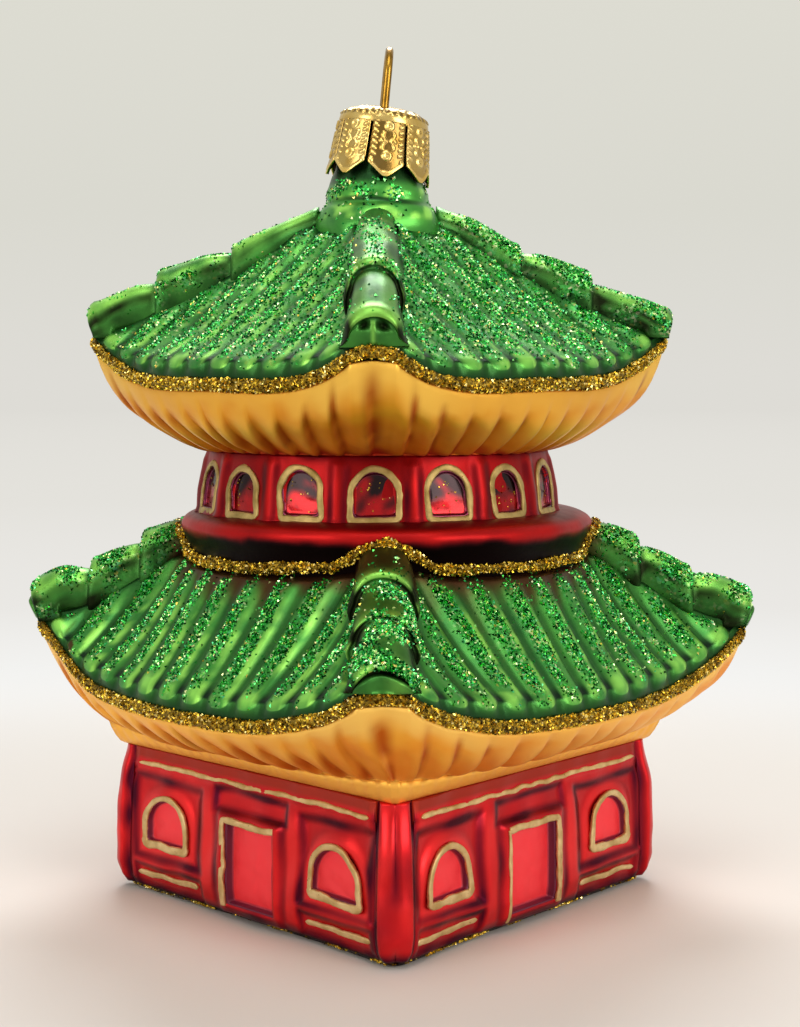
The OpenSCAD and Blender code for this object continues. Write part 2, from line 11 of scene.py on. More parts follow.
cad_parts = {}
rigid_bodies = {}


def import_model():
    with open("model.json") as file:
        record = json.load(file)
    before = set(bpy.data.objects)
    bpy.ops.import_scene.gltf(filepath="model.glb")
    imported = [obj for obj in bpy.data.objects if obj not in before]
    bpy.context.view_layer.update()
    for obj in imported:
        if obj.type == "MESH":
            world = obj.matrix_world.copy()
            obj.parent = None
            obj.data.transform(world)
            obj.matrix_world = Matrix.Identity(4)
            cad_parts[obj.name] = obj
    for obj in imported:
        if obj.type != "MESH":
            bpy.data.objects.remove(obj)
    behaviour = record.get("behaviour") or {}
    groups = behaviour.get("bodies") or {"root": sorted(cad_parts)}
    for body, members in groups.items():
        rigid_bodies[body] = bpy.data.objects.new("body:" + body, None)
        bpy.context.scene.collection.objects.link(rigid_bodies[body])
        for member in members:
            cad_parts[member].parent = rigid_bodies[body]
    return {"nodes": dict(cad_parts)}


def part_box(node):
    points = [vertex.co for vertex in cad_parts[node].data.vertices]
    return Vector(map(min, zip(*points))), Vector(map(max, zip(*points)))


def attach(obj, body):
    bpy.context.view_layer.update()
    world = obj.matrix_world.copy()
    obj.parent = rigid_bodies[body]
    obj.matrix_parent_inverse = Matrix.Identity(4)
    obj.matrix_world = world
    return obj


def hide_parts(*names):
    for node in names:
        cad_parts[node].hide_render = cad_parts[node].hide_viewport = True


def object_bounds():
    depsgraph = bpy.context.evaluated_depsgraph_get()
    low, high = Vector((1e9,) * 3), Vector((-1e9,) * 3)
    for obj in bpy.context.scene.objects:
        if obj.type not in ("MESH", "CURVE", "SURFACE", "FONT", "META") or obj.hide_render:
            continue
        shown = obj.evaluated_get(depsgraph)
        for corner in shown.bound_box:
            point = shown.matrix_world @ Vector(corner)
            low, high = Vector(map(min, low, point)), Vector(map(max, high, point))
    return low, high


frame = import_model()
CAD_LOW, CAD_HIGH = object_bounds()

MM = 0.001
SQRT2 = math.sqrt(2)
UP = np.array([0.0, 0.0, 1.0])
FACES = ("front", "right", "back", "left")
CORNERS = ("front_right", "back_right", "back_left", "front_left")


def box_mm(node):
    """Lowest and highest corner of a CAD node, in millimetres."""
    low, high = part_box(node)
    return np.array(low) / MM, np.array(high) / MM


# ---- Sums that the shapes share ----

def ease(start, end, x):
    """0 before start, 1 after end, smooth between them."""
    t = np.clip((np.asarray(x, float) - start) / (end - start), 0, 1)
    return t * t * (3 - 2 * t)


def fade(start, end, x):
    """1 before start, 0 after end, smooth between them."""
    return 1 - ease(start, end, x)


def bump(x, centre, half, soft):
    """1 within half of centre, falling to 0 over soft beyond it."""
    return fade(half, half + soft, np.abs(np.asarray(x, float) - centre))


def mix(a, b, s):
    return a + (b - a) * s


def unit(vectors):
    return vectors / np.maximum(np.linalg.norm(vectors, axis=-1, keepdims=True), 1e-9)


def radius(points):
    """How far points lie from the upright axis."""
    return np.hypot(points[..., 0], points[..., 1])


def around(r, a, z):
    """Points at radius r, angle a and height z."""
    return np.stack(np.broadcast_arrays(r * np.cos(a), r * np.sin(a), z), -1)


def bend(points, steps):
    """A smooth line through points, with steps between each two of them."""
    p = np.array(points, float)
    p = np.vstack([2 * p[0] - p[1], p, 2 * p[-1] - p[-2]])
    t = np.arange(steps)[:, None] / steps
    pieces = []
    for i in range(1, len(p) - 2):
        a, b, c, d = p[i - 1:i + 3]
        pieces.append(0.5 * (2 * b + (c - a) * t + (2 * a - 5 * b + 4 * c - d) * t ** 2
                             + (3 * b - a - 3 * c + d) * t ** 3))
    return np.vstack(pieces + [p[-2:-1]])


def evenly(line, count):
    """count + 1 points spaced evenly along a line, from its first point to its last."""
    far = np.append(0, np.cumsum(np.linalg.norm(np.diff(line, axis=0), axis=1)))
    at = np.linspace(0, far[-1], count + 1)
    return np.stack([np.interp(at, far, line[:, i]) for i in range(line.shape[1])], -1)


class Waves:
    """A smooth random field over space, about -1 to 1, with features of a given size."""

    def __init__(self, seed, size, count=14):
        rng = np.random.default_rng(seed)
        ways = rng.normal(size=(count, 3))
        ways /= np.linalg.norm(ways, axis=1, keepdims=True)
        self.ways = ways * (2 * math.pi / size) * rng.uniform(0.6, 1.6, (count, 1))
        self.phases = rng.uniform(0, 2 * math.pi, count)

    def __call__(self, points):
        return np.sin(points @ self.ways.T + self.phases).sum(-1) * (1.4 / len(self.phases)) ** 0.5 * 0.6

    def part(self, points, middle, swing, low=0, high=1):
        """The field turned into an amount about middle, kept between low and high."""
        return np.clip(middle + swing * self(points), low, high)


def drawn_waves(rng, size):
    return Waves(int(rng.integers(1 << 30)), size)


def turned(points, degrees):
    """Points turned about the upright axis."""
    a = math.radians(degrees)
    c, s = math.cos(a), math.sin(a)
    x, y = points[..., 0], points[..., 1]
    return np.stack([c * x - s * y, s * x + c * y, points[..., 2]], -1)


def on_face(k, u, v, z):
    """u along a face and v outward from the middle, on side k, where 0 is the -Y side."""
    flat = np.stack(np.broadcast_arrays(u, -np.asarray(v, float), z), -1).astype(float)
    return turned(flat, 90 * k)


def at_corner(k, points):
    """Points given on the +X side, turned to corner k."""
    return turned(points, 90 * k - 45)


def corner_way(k):
    """Level direction from the middle to corner k."""
    return at_corner(k, np.array([1.0, 0.0, 0.0]))


# ---- Meshes ----

def volume_sign(points, faces):
    total = 0.0
    for group in faces:
        a = points[group[:, 0]]
        for j in range(1, group.shape[1] - 1):
            total += np.einsum("ij,ij->", a, np.cross(points[group[:, j]], points[group[:, j + 1]]))
    return 1 if total >= 0 else -1


def add_object(name, data):
    thing = bpy.data.objects.new(name, data)
    bpy.context.scene.collection.objects.link(thing)
    return thing


def make_piece(name, solid, material, replaces=(), smooth=True, fields=None):
    """A mesh piece from a solid, its points in millimetres and a list of face index arrays.
    fields holds a number for each point by name, for the materials to read."""
    points, faces = solid
    points = np.asarray(points, float).reshape(-1, 3)
    if volume_sign(points, faces) < 0:
        faces = [group[:, ::-1] for group in faces]
    mesh = bpy.data.meshes.new(name)
    mesh.from_pydata((points * MM).tolist(), [], [f for group in faces for f in group.tolist()])
    if smooth:
        mesh.shade_smooth()
    for field, values in (fields or {}).items():
        made = mesh.attributes.new(field, "FLOAT", "POINT")
        made.data.foreach_set("value", np.asarray(values, np.float32).ravel())
    mesh.materials.append(material)
    piece = add_object(name, mesh)
    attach(piece, "root")
    if replaces:
        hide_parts(*replaces)


def grid_faces(rows, columns, closed):
    """Quads over a row of closed sections, joined from the last to the first when closed."""
    index = np.arange(rows * columns).reshape(rows, columns)
    if closed:
        index = np.vstack([index, index[:1]])
    index = np.hstack([index, index[:, :1]])
    corners = (index[:-1, :-1], index[1:, :-1], index[1:, 1:], index[:-1, 1:])
    return np.stack([c.ravel() for c in corners], -1)


def ring(sections):
    """A closed ring of closed sections, as points and faces."""
    return sections.reshape(-1, 3), [grid_faces(*sections.shape[:2], True)]


def capped(sections):
    """A row of closed sections with both ends filled to their middles."""
    rows, columns = sections.shape[:2]
    ends = np.stack([sections[0].mean(0), sections[-1].mean(0)])
    points = np.vstack([sections.reshape(-1, 3), ends])
    first = np.arange(columns)
    last = first + (rows - 1) * columns
    at = rows * columns
    caps = [np.stack([np.full(columns, at), first, np.roll(first, -1)], -1),
            np.stack([np.full(columns, at + 1), np.roll(last, -1), last], -1)]
    return points, [grid_faces(rows, columns, False)] + caps


def join(parts):
    """Several (points, faces) as one."""
    points, faces, at = [], [], 0
    for p, groups in parts:
        points.append(p)
        faces += [g + at for g in groups]
        at += len(p)
    return np.vstack(points), faces


# ---- Materials ----

def rgb(text):
    """Linear colour of a web colour such as #2f8f3a."""
    parts = [int(text[i:i + 2], 16) / 255 for i in (1, 3, 5)]
    return tuple(c / 12.92 if c <= 0.04045 else ((c + 0.055) / 1.055) ** 2.4 for c in parts) + (1.0,)


class Nodes:
    """Short calls for building the node tree of a material or a world."""

    def __init__(self, owner):
        owner.use_nodes = True
        self.owner = owner
        self.tree = owner.node_tree
        self.shader = self.tree.nodes.get("Principled BSDF")
        self.place = self.add("TexCoord").outputs

    def plug(self, socket, value):
        """Feeds a socket from another one, or sets it to a number or a web colour."""
        if isinstance(value, bpy.types.NodeSocket):
            self.tree.links.new(value, socket)
        else:
            socket.default_value = rgb(value) if isinstance(value, str) else value

    def add(self, kind, inputs=None, **settings):
        node = self.tree.nodes.new("ShaderNode" + kind)
        for key, value in settings.items():
            setattr(node, key, value)
        for key, value in (inputs or {}).items():
            self.plug(node.inputs[key], value)
        return node

    def set(self, **values):
        """Sets inputs of the surface shader, with _ for the spaces in their names."""
        for key, value in values.items():
            self.plug(self.shader.inputs[key.replace("_", " ")], value)

    def field(self, name):
        return self.add("Attribute", attribute_name=name).outputs["Fac"]

    def noise(self, size_mm, detail=2.0, roughness=0.5, distortion=0.0):
        """Noise from 0 to 1 with features about size_mm across."""
        inputs = {"Vector": self.place["Object"], "Scale": 1 / (size_mm * MM), "Detail": detail,
                  "Roughness": roughness, "Distortion": distortion}
        return self.add("TexNoise", inputs).outputs["Fac"]

    def cells(self, size_mm):
        """A number from 0 to 1 for each small cell about size_mm across."""
        cell = self.add("TexVoronoi", {"Vector": self.place["Object"], "Scale": 1 / (size_mm * MM)})
        return self.add("SeparateColor", {0: cell.outputs["Color"]}).outputs[0]

    def ramp(self, source, stops):
        """A colour or grey ramp. stops is pairs of a place and a web colour or a number."""
        node = self.add("ValToRGB", {"Fac": source})
        items = node.color_ramp.elements
        while len(items) < len(stops):
            items.new(0.5)
        for item, (place, colour) in zip(items, stops):
            item.position = place
            item.color = rgb(colour) if isinstance(colour, str) else (colour, colour, colour, 1)
        return node.outputs["Color"]

    def blend(self, amount, a, b):
        """Mixes two colours by amount."""
        return self.add("Mix", {0: amount, 6: a, 7: b}, data_type="RGBA").outputs[2]

    def sum(self, kind, a, b):
        return self.add("Math", {0: a, 1: b}, operation=kind).outputs[0]

    def spread(self, source, low, high):
        """Maps 0..1 onto low..high."""
        return self.add("MapRange", {"Value": source, "To Min": low, "To Max": high}).outputs["Result"]

    def relief(self, source, depth_mm):
        node = self.add("Bump", {"Distance": depth_mm * MM, "Height": source})
        self.plug(self.shader.inputs["Normal"], node.outputs["Normal"])

    def shown(self, amount, a, b):
        """Gives the tree's output shader b by amount, and shader a otherwise."""
        pick = self.add("MixShader", {0: amount, 1: a.outputs[0], 2: b.outputs[0]})
        out = [node for node in self.tree.nodes if node.name.endswith(" Output")][0]
        self.plug(out.inputs["Surface"], pick.outputs[0])


def material_nodes(name):
    return Nodes(bpy.data.materials.new(name))


def lacquer(name, light, mid, dark, glow, stain, metallic=0.75, rough=(0.3, 0.42), patch=9.0, coat=0.12,
            specular=0.3, flakes=None):
    """Coloured lacquer over silvered glass. light and mid vary in patches. The field glow
    paints a highlight in the colour glow, and the field shade paints shade in the colour
    dark. A third field turns it to the last colour: red overspray at a soffit's foot, a tint
    on the walls' top band and near the lower roof's top, and painted shade, near black,
    under the ledge's crest. It shines less where it is dark. Fine glitter, in the colours
    of the ramp flakes, fills it where the field grit is high."""
    n = material_nodes(name)
    patches = n.ramp(n.noise(patch, 3.0), [(0.35, 0.0), (0.65, 1.0)])
    colour = n.blend(patches, mid, light)
    # Painted highlight, then painted shade.
    colour = n.blend(n.field("glow"), colour, glow)
    colour = n.blend(n.field("shade"), colour, dark)
    if flakes:
        colour = n.blend(n.field("grit"), colour, n.ramp(n.cells(0.4), flakes))
    # Overspray and tints, and on the ledge painted shade.
    colour = n.blend(n.field("stain"), colour, stain)
    deep = n.sum("MAXIMUM", n.field("shade"), n.field("stain"))
    n.set(Base_Color=colour, Metallic=metallic, Coat_Roughness=0.2)
    n.set(Coat_Weight=n.spread(deep, coat, 0.0), Specular_IOR_Level=n.spread(deep, specular, 0.05))
    n.set(Roughness=n.spread(n.noise(1.6, 3.0), *rough))
    n.relief(n.noise(0.9), 0.02)
    return n.owner


def pane_lacquer(name, light, dark, metallic, rough, coat):
    """Thick lacquer on a pane, uneven as it pooled, with painted shade, plum, in its reveal and
    painted shade in the colour dark where the field gloom is high.
    """
    n = material_nodes(name)
    pooled = n.ramp(n.noise(3.0, distortion=0.6), [(0.35, 1.0), (0.62, 0.0)])
    colour = n.blend(n.sum("MULTIPLY", pooled, 0.35), light, dark)
    # Painted shade toward a drum window's top, then painted plum shade in the reveal.
    colour = n.blend(n.field("gloom"), colour, dark)
    colour = n.blend(n.field("shade"), colour, "#6a1a38")
    n.set(Base_Color=colour, Metallic=metallic, Coat_Weight=coat, Coat_Roughness=0.08)
    n.set(Roughness=n.spread(n.noise(1.2), *rough))
    n.relief(n.noise(1.6, 1.0), 0.05)
    return n.owner


def line_paint(name, light, dark):
    """Thick hand-brushed paint with tiny pits."""
    n = material_nodes(name)
    grain = n.noise(0.5, 3.0)
    colour = n.blend(n.ramp(n.noise(2.0), [(0.35, 0.0), (0.7, 1.0)]), light, dark)
    pits = n.ramp(n.noise(0.35, 1.0), [(0.2, 1.0), (0.27, 0.0)])
    colour = n.blend(pits, colour, "#7a5528")
    n.set(Base_Color=colour, Metallic=0.6, Roughness=n.spread(grain, 0.42, 0.6), Specular_IOR_Level=0.3)
    n.relief(grain, 0.04)
    return n.owner


def flake_metal(name, stops):
    """Glitter. The field tone picks each flake's colour."""
    n = material_nodes(name)
    n.set(Base_Color=n.ramp(n.field("tone"), stops), Metallic=1.0)
    n.set(Roughness=n.spread(n.field("tone"), 0.12, 0.3))
    return n.owner


def grit(name, light, dark):
    """The bed that glitter sits in."""
    n = material_nodes(name)
    grain = n.noise(0.45, 3.0, 0.7)
    n.set(Base_Color=n.ramp(grain, [(0.38, dark), (0.62, light)]), Metallic=0.9)
    n.set(Roughness=n.spread(grain, 0.2, 0.5))
    n.relief(grain, 0.3)
    return n.owner


def sheet_metal(name, light, dark):
    """Thin lacquered gold sheet or wire, with painted shade, brown, in the cap's hollows and
    painted dark reflections along the wire.
    """
    n = material_nodes(name)
    colour = n.blend(n.ramp(n.noise(2.5, 3.0), [(0.3, 0.0), (0.7, 1.0)]), light, dark)
    # Painted shade and painted dark reflections, brown.
    colour = n.blend(n.field("shade"), colour, "#57390e")
    n.set(Base_Color=colour, Metallic=1.0, Roughness=n.spread(n.noise(0.8), 0.16, 0.3))
    n.relief(n.noise(0.5), 0.015)
    return n.owner


GREEN_STOPS = ((0.0, "#06200c"), (0.2, "#12602a"), (0.42, "#2c9c40"), (0.64, "#56cc58"), (0.78, "#52bc84"),
               (0.87, "#a8f484"), (0.94, "#f2ffcc"), (1.0, "#e4c648"))
GOLD_STOPS = ((0.0, "#38290a"), (0.28, "#8e6f18"), (0.55, "#dab338"), (0.82, "#efcc4c"), (1.0, "#ffeea4"))
DULL = {"metallic": 0.65, "rough": (0.36, 0.5), "coat": 0.0, "specular": 0.1}
# In each lacquer below, the third colour is its painted shade and the fourth its painted highlight. The fifth
# is a tint, red overspray on the soffits, and on the drum's red, which the ledge carries, painted shade, near
# black.
RED = lacquer("red_lacquer", "#e01c20", "#c01216", "#480c20", "#f83030", "#a23428")
DRUM_RED = lacquer("drum_red_lacquer", "#a01012", "#7a080c", "#280814", "#c41a18", "#0a0303",
                   rough=(0.36, 0.5), coat=0.03, specular=0.15)
GREEN = lacquer("green_lacquer", "#4da03e", "#358034", "#182c1c", "#a0ec64", "#4a2018",
                patch=5.0, flakes=GREEN_STOPS)
HIP_GREEN = lacquer("hip_green_lacquer", "#48953a", "#30702a", "#171f0e", "#9fe860", "#38160e",
                    patch=4.0, rough=(0.34, 0.48), flakes=GREEN_STOPS)
TOP_SOFFIT = lacquer("soffit_gold_lacquer", "#e59b2a", "#d6851c", "#a3480c", "#f0bd50", "#9c1d14", **DULL)
# The upper soffit's lacquer painted brighter: painted light that makes up for the deeper shade under the
# lower eave.
LOW_SOFFIT = lacquer("low_soffit_gold_lacquer", "#f8b03c", "#f0982a", "#bd5a12", "#fdca64", "#9c1d14", **DULL)
PANE = pane_lacquer("pane_red_lacquer", "#ff3a42", "#ff2636", metallic=0.3, rough=(0.42, 0.55), coat=0.03)
DRUM_PANE = pane_lacquer("drum_pane_lacquer", "#b80c14", "#1c050c", metallic=0.8, rough=(0.16, 0.3), coat=0.2)
LINES = line_paint("gold_line_paint", "#dcc08a", "#b8985e")
DRUM_LINES = line_paint("drum_line_paint", "#bda468", "#8e7840")
GOLD_GRIT = grit("gold_grit", "#a8882a", "#2a1e08")
FOOT_GRIT = grit("foot_grit", "#30100f", "#120406")
GOLD_FLAKES = flake_metal("gold_flakes", GOLD_STOPS)
GREEN_FLAKES = flake_metal("green_flakes", GREEN_STOPS)
CAP_GOLD = sheet_metal("cap_gold", "#f2d488", "#e0b65a")
WIRE_GOLD = sheet_metal("wire_gold", "#c0943c", "#7a581c")


# ---- Glitter ----

FLAKE_ROOT = 0.2


def scatter(points, weight, count, rng):
    """count random places on a grid surface, dense where weight is high, with normals."""
    a, b = points[:-1, :-1], points[1:, :-1]
    c, d = points[1:, 1:], points[:-1, 1:]
    normals = np.cross(c - a, d - b)
    area = np.linalg.norm(normals, axis=-1)
    chance = np.clip((weight[:-1, :-1] + weight[1:, 1:]) / 2, 0, None) * area
    picked = rng.choice(chance.size, count, p=(chance / chance.sum()).ravel())
    s, t = rng.uniform(size=(2, count, 1))
    a, b, c, d = [q.reshape(-1, 3)[picked] for q in (a, b, c, d)]
    return mix(mix(a, b, s), mix(d, c, s), t), unit(normals).reshape(-1, 3)[picked]


def flakes(at, way, rng, size=(0.4, 0.68), lift=0.05, lean=26):
    """Three-sided flakes, each a flat top over a point that sits in the surface."""
    count = len(at)
    tilt = np.radians(rng.normal(0, lean, count))[:, None]
    side = unit(np.cross(way, rng.normal(size=(count, 3))))
    up = way * np.cos(tilt) + np.cross(side, way) * np.sin(tilt)
    across = np.cross(up, side)[:, None]
    reach = rng.uniform(size[0] / 2, size[1] / 2, count)[:, None, None]
    angles = (np.arange(3) * math.pi / 1.5 + rng.uniform(-0.4, 0.4, (count, 3)))[..., None]
    top = (at + way * lift)[:, None] + reach * (np.cos(angles) * side[:, None] + np.sin(angles) * across)
    root = (at - way * FLAKE_ROOT)[:, None]
    points = np.concatenate([top, root], 1).reshape(-1, 3)
    base = (np.arange(count) * 4)[:, None]
    rim = np.arange(3)
    sides = np.stack([base + np.roll(rim, -1), base + rim, base + np.full(3, 3)], -1).reshape(-1, 3)
    tone = np.repeat(rng.uniform(size=count), 4)
    return (points, [base + rim, sides]), tone


def glitter_piece(name, places, material, rng, **settings):
    """Flakes at places, pairs of points and normals."""
    at, way = [np.vstack(parts) for parts in zip(*places)]
    solid, tone = flakes(at, way, rng, **settings)
    make_piece(name, solid, material, smooth=False, fields={"tone": tone})


# ---- Eaves and roofs ----

# How far apart the meshes' columns and rows stand.
ROOF_STEP, SOFFIT_STEP, BAND_STEP, TILE_STEP, STOREY_STEP, TAB_STEP = 0.32, 0.42, 0.4, 0.75, 0.3, 0.14

BAND_HALF = 1.1
RIM_MID, RIM_CORNER = 1.9, 0.4
BED_STEP = 0.15


class Eave:
    """The square, up-curved eave line of one roof, read from the CAD roof's box."""

    def __init__(self, roof, band, hip_half, bulge, power, rise_power):
        low, high = box_mm(roof)
        band_low, band_high = box_mm(band)
        self.half = (high[0] - low[0]) / 2 - bulge
        self.hip_half = hip_half
        self.bulge, self.power = bulge, power
        self.mid_z = band_low[2] + BAND_HALF
        self.rise = band_high[2] - BAND_HALF - self.mid_z
        self.rise_power = rise_power
        self.end = self.half - hip_half * SQRT2
        self.corner = self.half * SQRT2 - hip_half

    def u(self, f):
        """Place along the side, at f from -1 at its left end to 1 at its right."""
        return self.end * f

    def v(self, f):
        return self.half + self.bulge * np.clip(1 - f * f, 0, None) ** self.power

    def z(self, f):
        return self.mid_z + self.rise * np.abs(f) ** self.rise_power

    def rim(self, f):
        """Height of the plain rim over the glitter band."""
        return mix(RIM_MID, RIM_CORNER, np.abs(f) ** 4)

    def rim_top(self, f):
        return self.z(f) + BAND_HALF + self.rim(f)


class Roof:
    """One tiled roof: its eave, its hips' beds, the circle it starts from and its tile ribs."""

    def __init__(self, eave, slope, dip, top_r, top_z, ribs, rib_h, sag):
        self.eave, self.slope, self.dip = eave, slope, dip
        self.top_r, self.top_z = top_r, top_z
        self.ribs, self.rib_h, self.sag = ribs, rib_h, sag
        self.pitch = 2 * (eave.end - 1.2) / ribs
        self.start = (math.sqrt(top_r ** 2 - eave.hip_half ** 2) - eave.hip_half) / SQRT2

    def bed(self, r):
        """Height of the bed under a hip, at radius r on the diagonal."""
        e = self.eave
        reach = e.corner - r
        t = reach / (e.corner - self.top_r)
        return e.rim_top(1.0) + BED_STEP + self.slope * reach - 4 * self.dip * t * (1 - t)

    def top(self, u):
        """Where the roof's surface begins above u: out from the middle, and height."""
        w, start = self.eave.hip_half, self.start
        a = np.abs(u)
        round_v = np.sqrt(np.clip(self.top_r ** 2 - a * a, 0, None))
        round_z = mix(self.top_z, self.bed(start * SQRT2 + w), np.minimum(a / start, 1) ** 5)
        beyond = a > start
        return (np.where(beyond, a + w * SQRT2, round_v),
                np.where(beyond, self.bed(a * SQRT2 + w), round_z))

    def rib(self, u):
        """Height of the rib's round at u, 0 to 1, and place across it, -1 to 1."""
        d = (u / self.pitch - np.round(u / self.pitch)) * 2
        inside = np.abs(u) <= self.pitch * self.ribs / 2
        high = np.clip(1 - np.abs((d + 0.16) / 0.8) ** 2.6, 0, 1) ** 0.75
        return np.where(inside, high, 0), d


LOW_EAVE = Eave("lower_roof", "lower_eave_glitter", hip_half=3.1, bulge=1.9, power=4, rise_power=3.5)
TOP_EAVE = Eave("upper_roof", "upper_eave_glitter", hip_half=2.8, bulge=2.4, power=2.4, rise_power=3.2)
LOW_ROOF = Roof(LOW_EAVE, slope=0.465, dip=1.7, top_r=27.2, top_z=46.4, ribs=13, rib_h=0.9, sag=0.8)
TOP_ROOF = Roof(TOP_EAVE, slope=0.475, dip=2.2, top_r=8.6, top_z=90.6, ribs=11, rib_h=0.8, sag=1.0)
# Rows of the rim under the tongues, as parts of the way out and down, and how dark they are.
RIM_ROWS = ((0.1, 0.15), (0.35, 0.4), (0.7, 0.7), (1.0, 1.0))
RIM_SHADE = (0.55, 0.75, 0.85, 0.9, 1, 1)


def roof_columns(roof, k, us, wobble):
    """Outer and inner points of a roof's columns at us on side k, with the fields that
    depend on a point's place in its rib. Each rib ends in a tongue over the rim."""
    e = roof.eave
    f = us / us[-1]
    top_v, top_z = roof.top(us)
    rib, across = roof.rib(us)
    rows = np.concatenate([np.linspace(0, 0.9, 18), np.linspace(0.92, 1, 7)])[:, None]
    foot_v = e.v(f) + 0.2 - 0.6 * (1 - rib)
    foot_z = e.rim_top(f) - 0.5 * rib * e.rim(f)
    run = np.maximum(foot_v - top_v, 0.1)
    from_top, from_foot = rows * run, (1 - rows) * run
    nose = np.sqrt(np.clip(1 - np.clip(1 - from_foot / 0.8, 0, 1) ** 2, 0, 1))
    lift = roof.rib_h * rib * ease(0, 2.4, from_top) * nose
    v = mix(top_v, foot_v, rows)
    bow = 4 * roof.sag * run / (e.v(0.0) - roof.top_r)
    z = mix(top_z, foot_z, rows) - bow * rows * (1 - rows) + lift
    beside_hip = ease(roof.start, roof.start + 2, np.abs(us)) * fade(0, 2.8, from_top)
    z = z + 1.1 * beside_hip * ease(2, 9, from_foot)
    outer = on_face(k, np.broadcast_to(us, v.shape), v, z)
    outer[..., 2] += 0.18 * wobble(outer) * ease(0, 3, from_top)
    rim = [on_face(k, e.u(f), mix(foot_v, e.v(f), out), mix(foot_z, e.z(f) + 0.7, down))
           for out, down in RIM_ROWS]
    inner = [on_face(k, us, e.v(f) - 1.5, e.z(f) - BAND_HALF), on_face(k, us, top_v, top_z - 2)]
    points = np.concatenate([outer, rim, inner])
    shade, glow = np.zeros(points.shape[:2]), np.zeros(points.shape[:2])
    # The grooves are darker, partly with pooled paint and partly with painted shade, and there is painted
    # shade where the roof starts; a painted highlight runs along one side of each rib and on each tongue's
    # tip.
    groove = (1 - rib) * (0.6 + 0.4 * fade(0.3, 1.6, from_foot))
    shade[:len(rows)] = np.maximum(groove, 0.8 * fade(0.1, 1.6, from_top))
    shade[len(rows):] = np.array(RIM_SHADE)[:, None]
    ridge = bump(across, 0.36, 0.12, 0.18) * ease(1, 6, from_top)
    tip = bump(from_foot, 0.7, 0.3, 0.6) * rib * 0.8
    glow[:len(rows)] = np.maximum(ridge, tip)
    return points, shade, glow, from_top, from_foot, across


def roof_piece(roof, name, stain_near, loose, seed, flake_count):
    """A roof's surface with its ribs and rim, and the glitter brushed along the ribs. loose
    is how much of it lies between the stripes."""
    e = roof.eave
    us = np.linspace(-e.end, e.end, int(2 * e.end / ROOF_STEP) | 1)
    wobble, patchy, fine = Waves(seed, 14), Waves(seed + 1, 7), Waves(seed + 2, 2.5)
    rng = np.random.default_rng(seed)
    columns, fields, places = [], {"shade": [], "glow": [], "stain": [], "grit": []}, []
    for k in range(4):
        points, shade, glow, from_top, from_foot, across = roof_columns(roof, k, us, wobble)
        outer = points[:len(from_top)]
        # A brown-red tint near the roof's top circle, and the painted highlight broken into patches.
        stain = stain_near * fade(0.3, 3.5 + 2 * patchy(points), radius(points) - roof.top_r)
        glow = glow * np.clip(0.55 + 0.9 * patchy(points) + 0.7 * fine(points), 0, 1)
        ends = fade(0.0, 5.0, 4.2 + 2.6 * patchy(outer) - from_foot)
        stripe = bump(across, -0.28, 0.34, 0.14)
        weight = ends * (stripe + loose) * ease(0.2, 1.2, from_top)
        weight *= np.clip(0.8 + 0.6 * patchy(outer) + 0.4 * fine(outer), 0.02, 1.4)
        places.append(scatter(outer.transpose(1, 0, 2), weight.T, flake_count // 4, rng))
        bed = np.zeros(shade.shape)
        bed[:len(weight)] = np.clip(weight, 0, 1)
        columns.append(points.transpose(1, 0, 2))
        for key, values in zip(fields, (shade, glow, np.clip(stain, 0, 1), 0.8 * bed)):
            fields[key].append(values.T)
    made = {key: np.concatenate(values) for key, values in fields.items()}
    make_piece(f"{name}_tiles", ring(np.concatenate(columns)), GREEN, [name], fields=made)
    glitter_piece(f"{name}_tiles_glitter", places, GREEN_FLAKES, rng)


# ---- Hips ----

ARC = np.linspace(0, math.pi, 23)
SKIRT = np.linspace(0, 1, 5)[1:]
FRONT_RIGHT, BACK_RIGHT, FRONT_LEFT = 0, 1, 3
LAST_DROP = 2.6
HIP_FLAKES = 3200
END_ROWS = (0.02, 0.05, 0.09, 0.14, 0.2, 0.27, 0.35, 0.44, 0.54, 0.65, 0.78, 0.97)


class Row:
    """A row of a hip: its radius, crest height and half width, how much painted shade it has,
    how far along its tile it lies and which tile that is."""

    def __init__(self, r, crest, half, dark, along, tile):
        self.r, self.crest, self.half = r, crest, half
        self.dark, self.along, self.tile = dark, along, tile


def over_hip(flank, arc):
    """Values over a hip's section: up one flank, over its arc and down the other flank."""
    return np.concatenate([flank[::-1], arc, flank])


def hip_rows(roof, tiles, widths):
    """Rows of a hip from the middle outward. Each tile rises from a narrow neck to a rolled
    lip and drops to the next."""
    half = roof.eave.hip_half
    wide = half * widths[1]
    rows = []
    last_r = 0.0
    for i, (inner, z0, outer, z1) in enumerate(tiles):
        drop = z1 - tiles[i + 1][1] if i + 1 < len(tiles) else LAST_DROP
        roll = min(1.4, 0.6 * drop)
        for s in np.linspace(0, 1, int((outer - inner) / TILE_STEP)):
            r = mix(inner, outer - roll, s)
            if r > last_r - 0.1:
                crest = mix(z0, z1, s) + 0.5 * math.sin(math.pi * s)
                # Painted shade in the gap where a tile starts under the lip of the one before.
                dark = 0.95 * (1 - float(ease(0.0, 0.26, s))) if i else 0.0
                rows.append(Row(r, crest, half * mix(*widths, s ** 1.3), dark, s, i))
        for degrees in (25, 50, 75, 90):
            turn = math.radians(degrees)
            down = roll * (1 - math.cos(turn))
            r = outer - roll + roll * math.sin(turn)
            rows.append(Row(r, z1 - down, wide - 0.35 * down, 0.1, 1.0, i))
        # Painted shade under each lip.
        rows += [Row(outer - 0.05, z1 - mix(roll, drop, 0.4), wide * 0.9, 0.8, 0.0, i),
                 Row(outer - 0.25, z1 - mix(roll, drop, 0.8), wide * 0.82, 1.0, 0.0, i)]
        last_r = outer
    return rows[:-2]


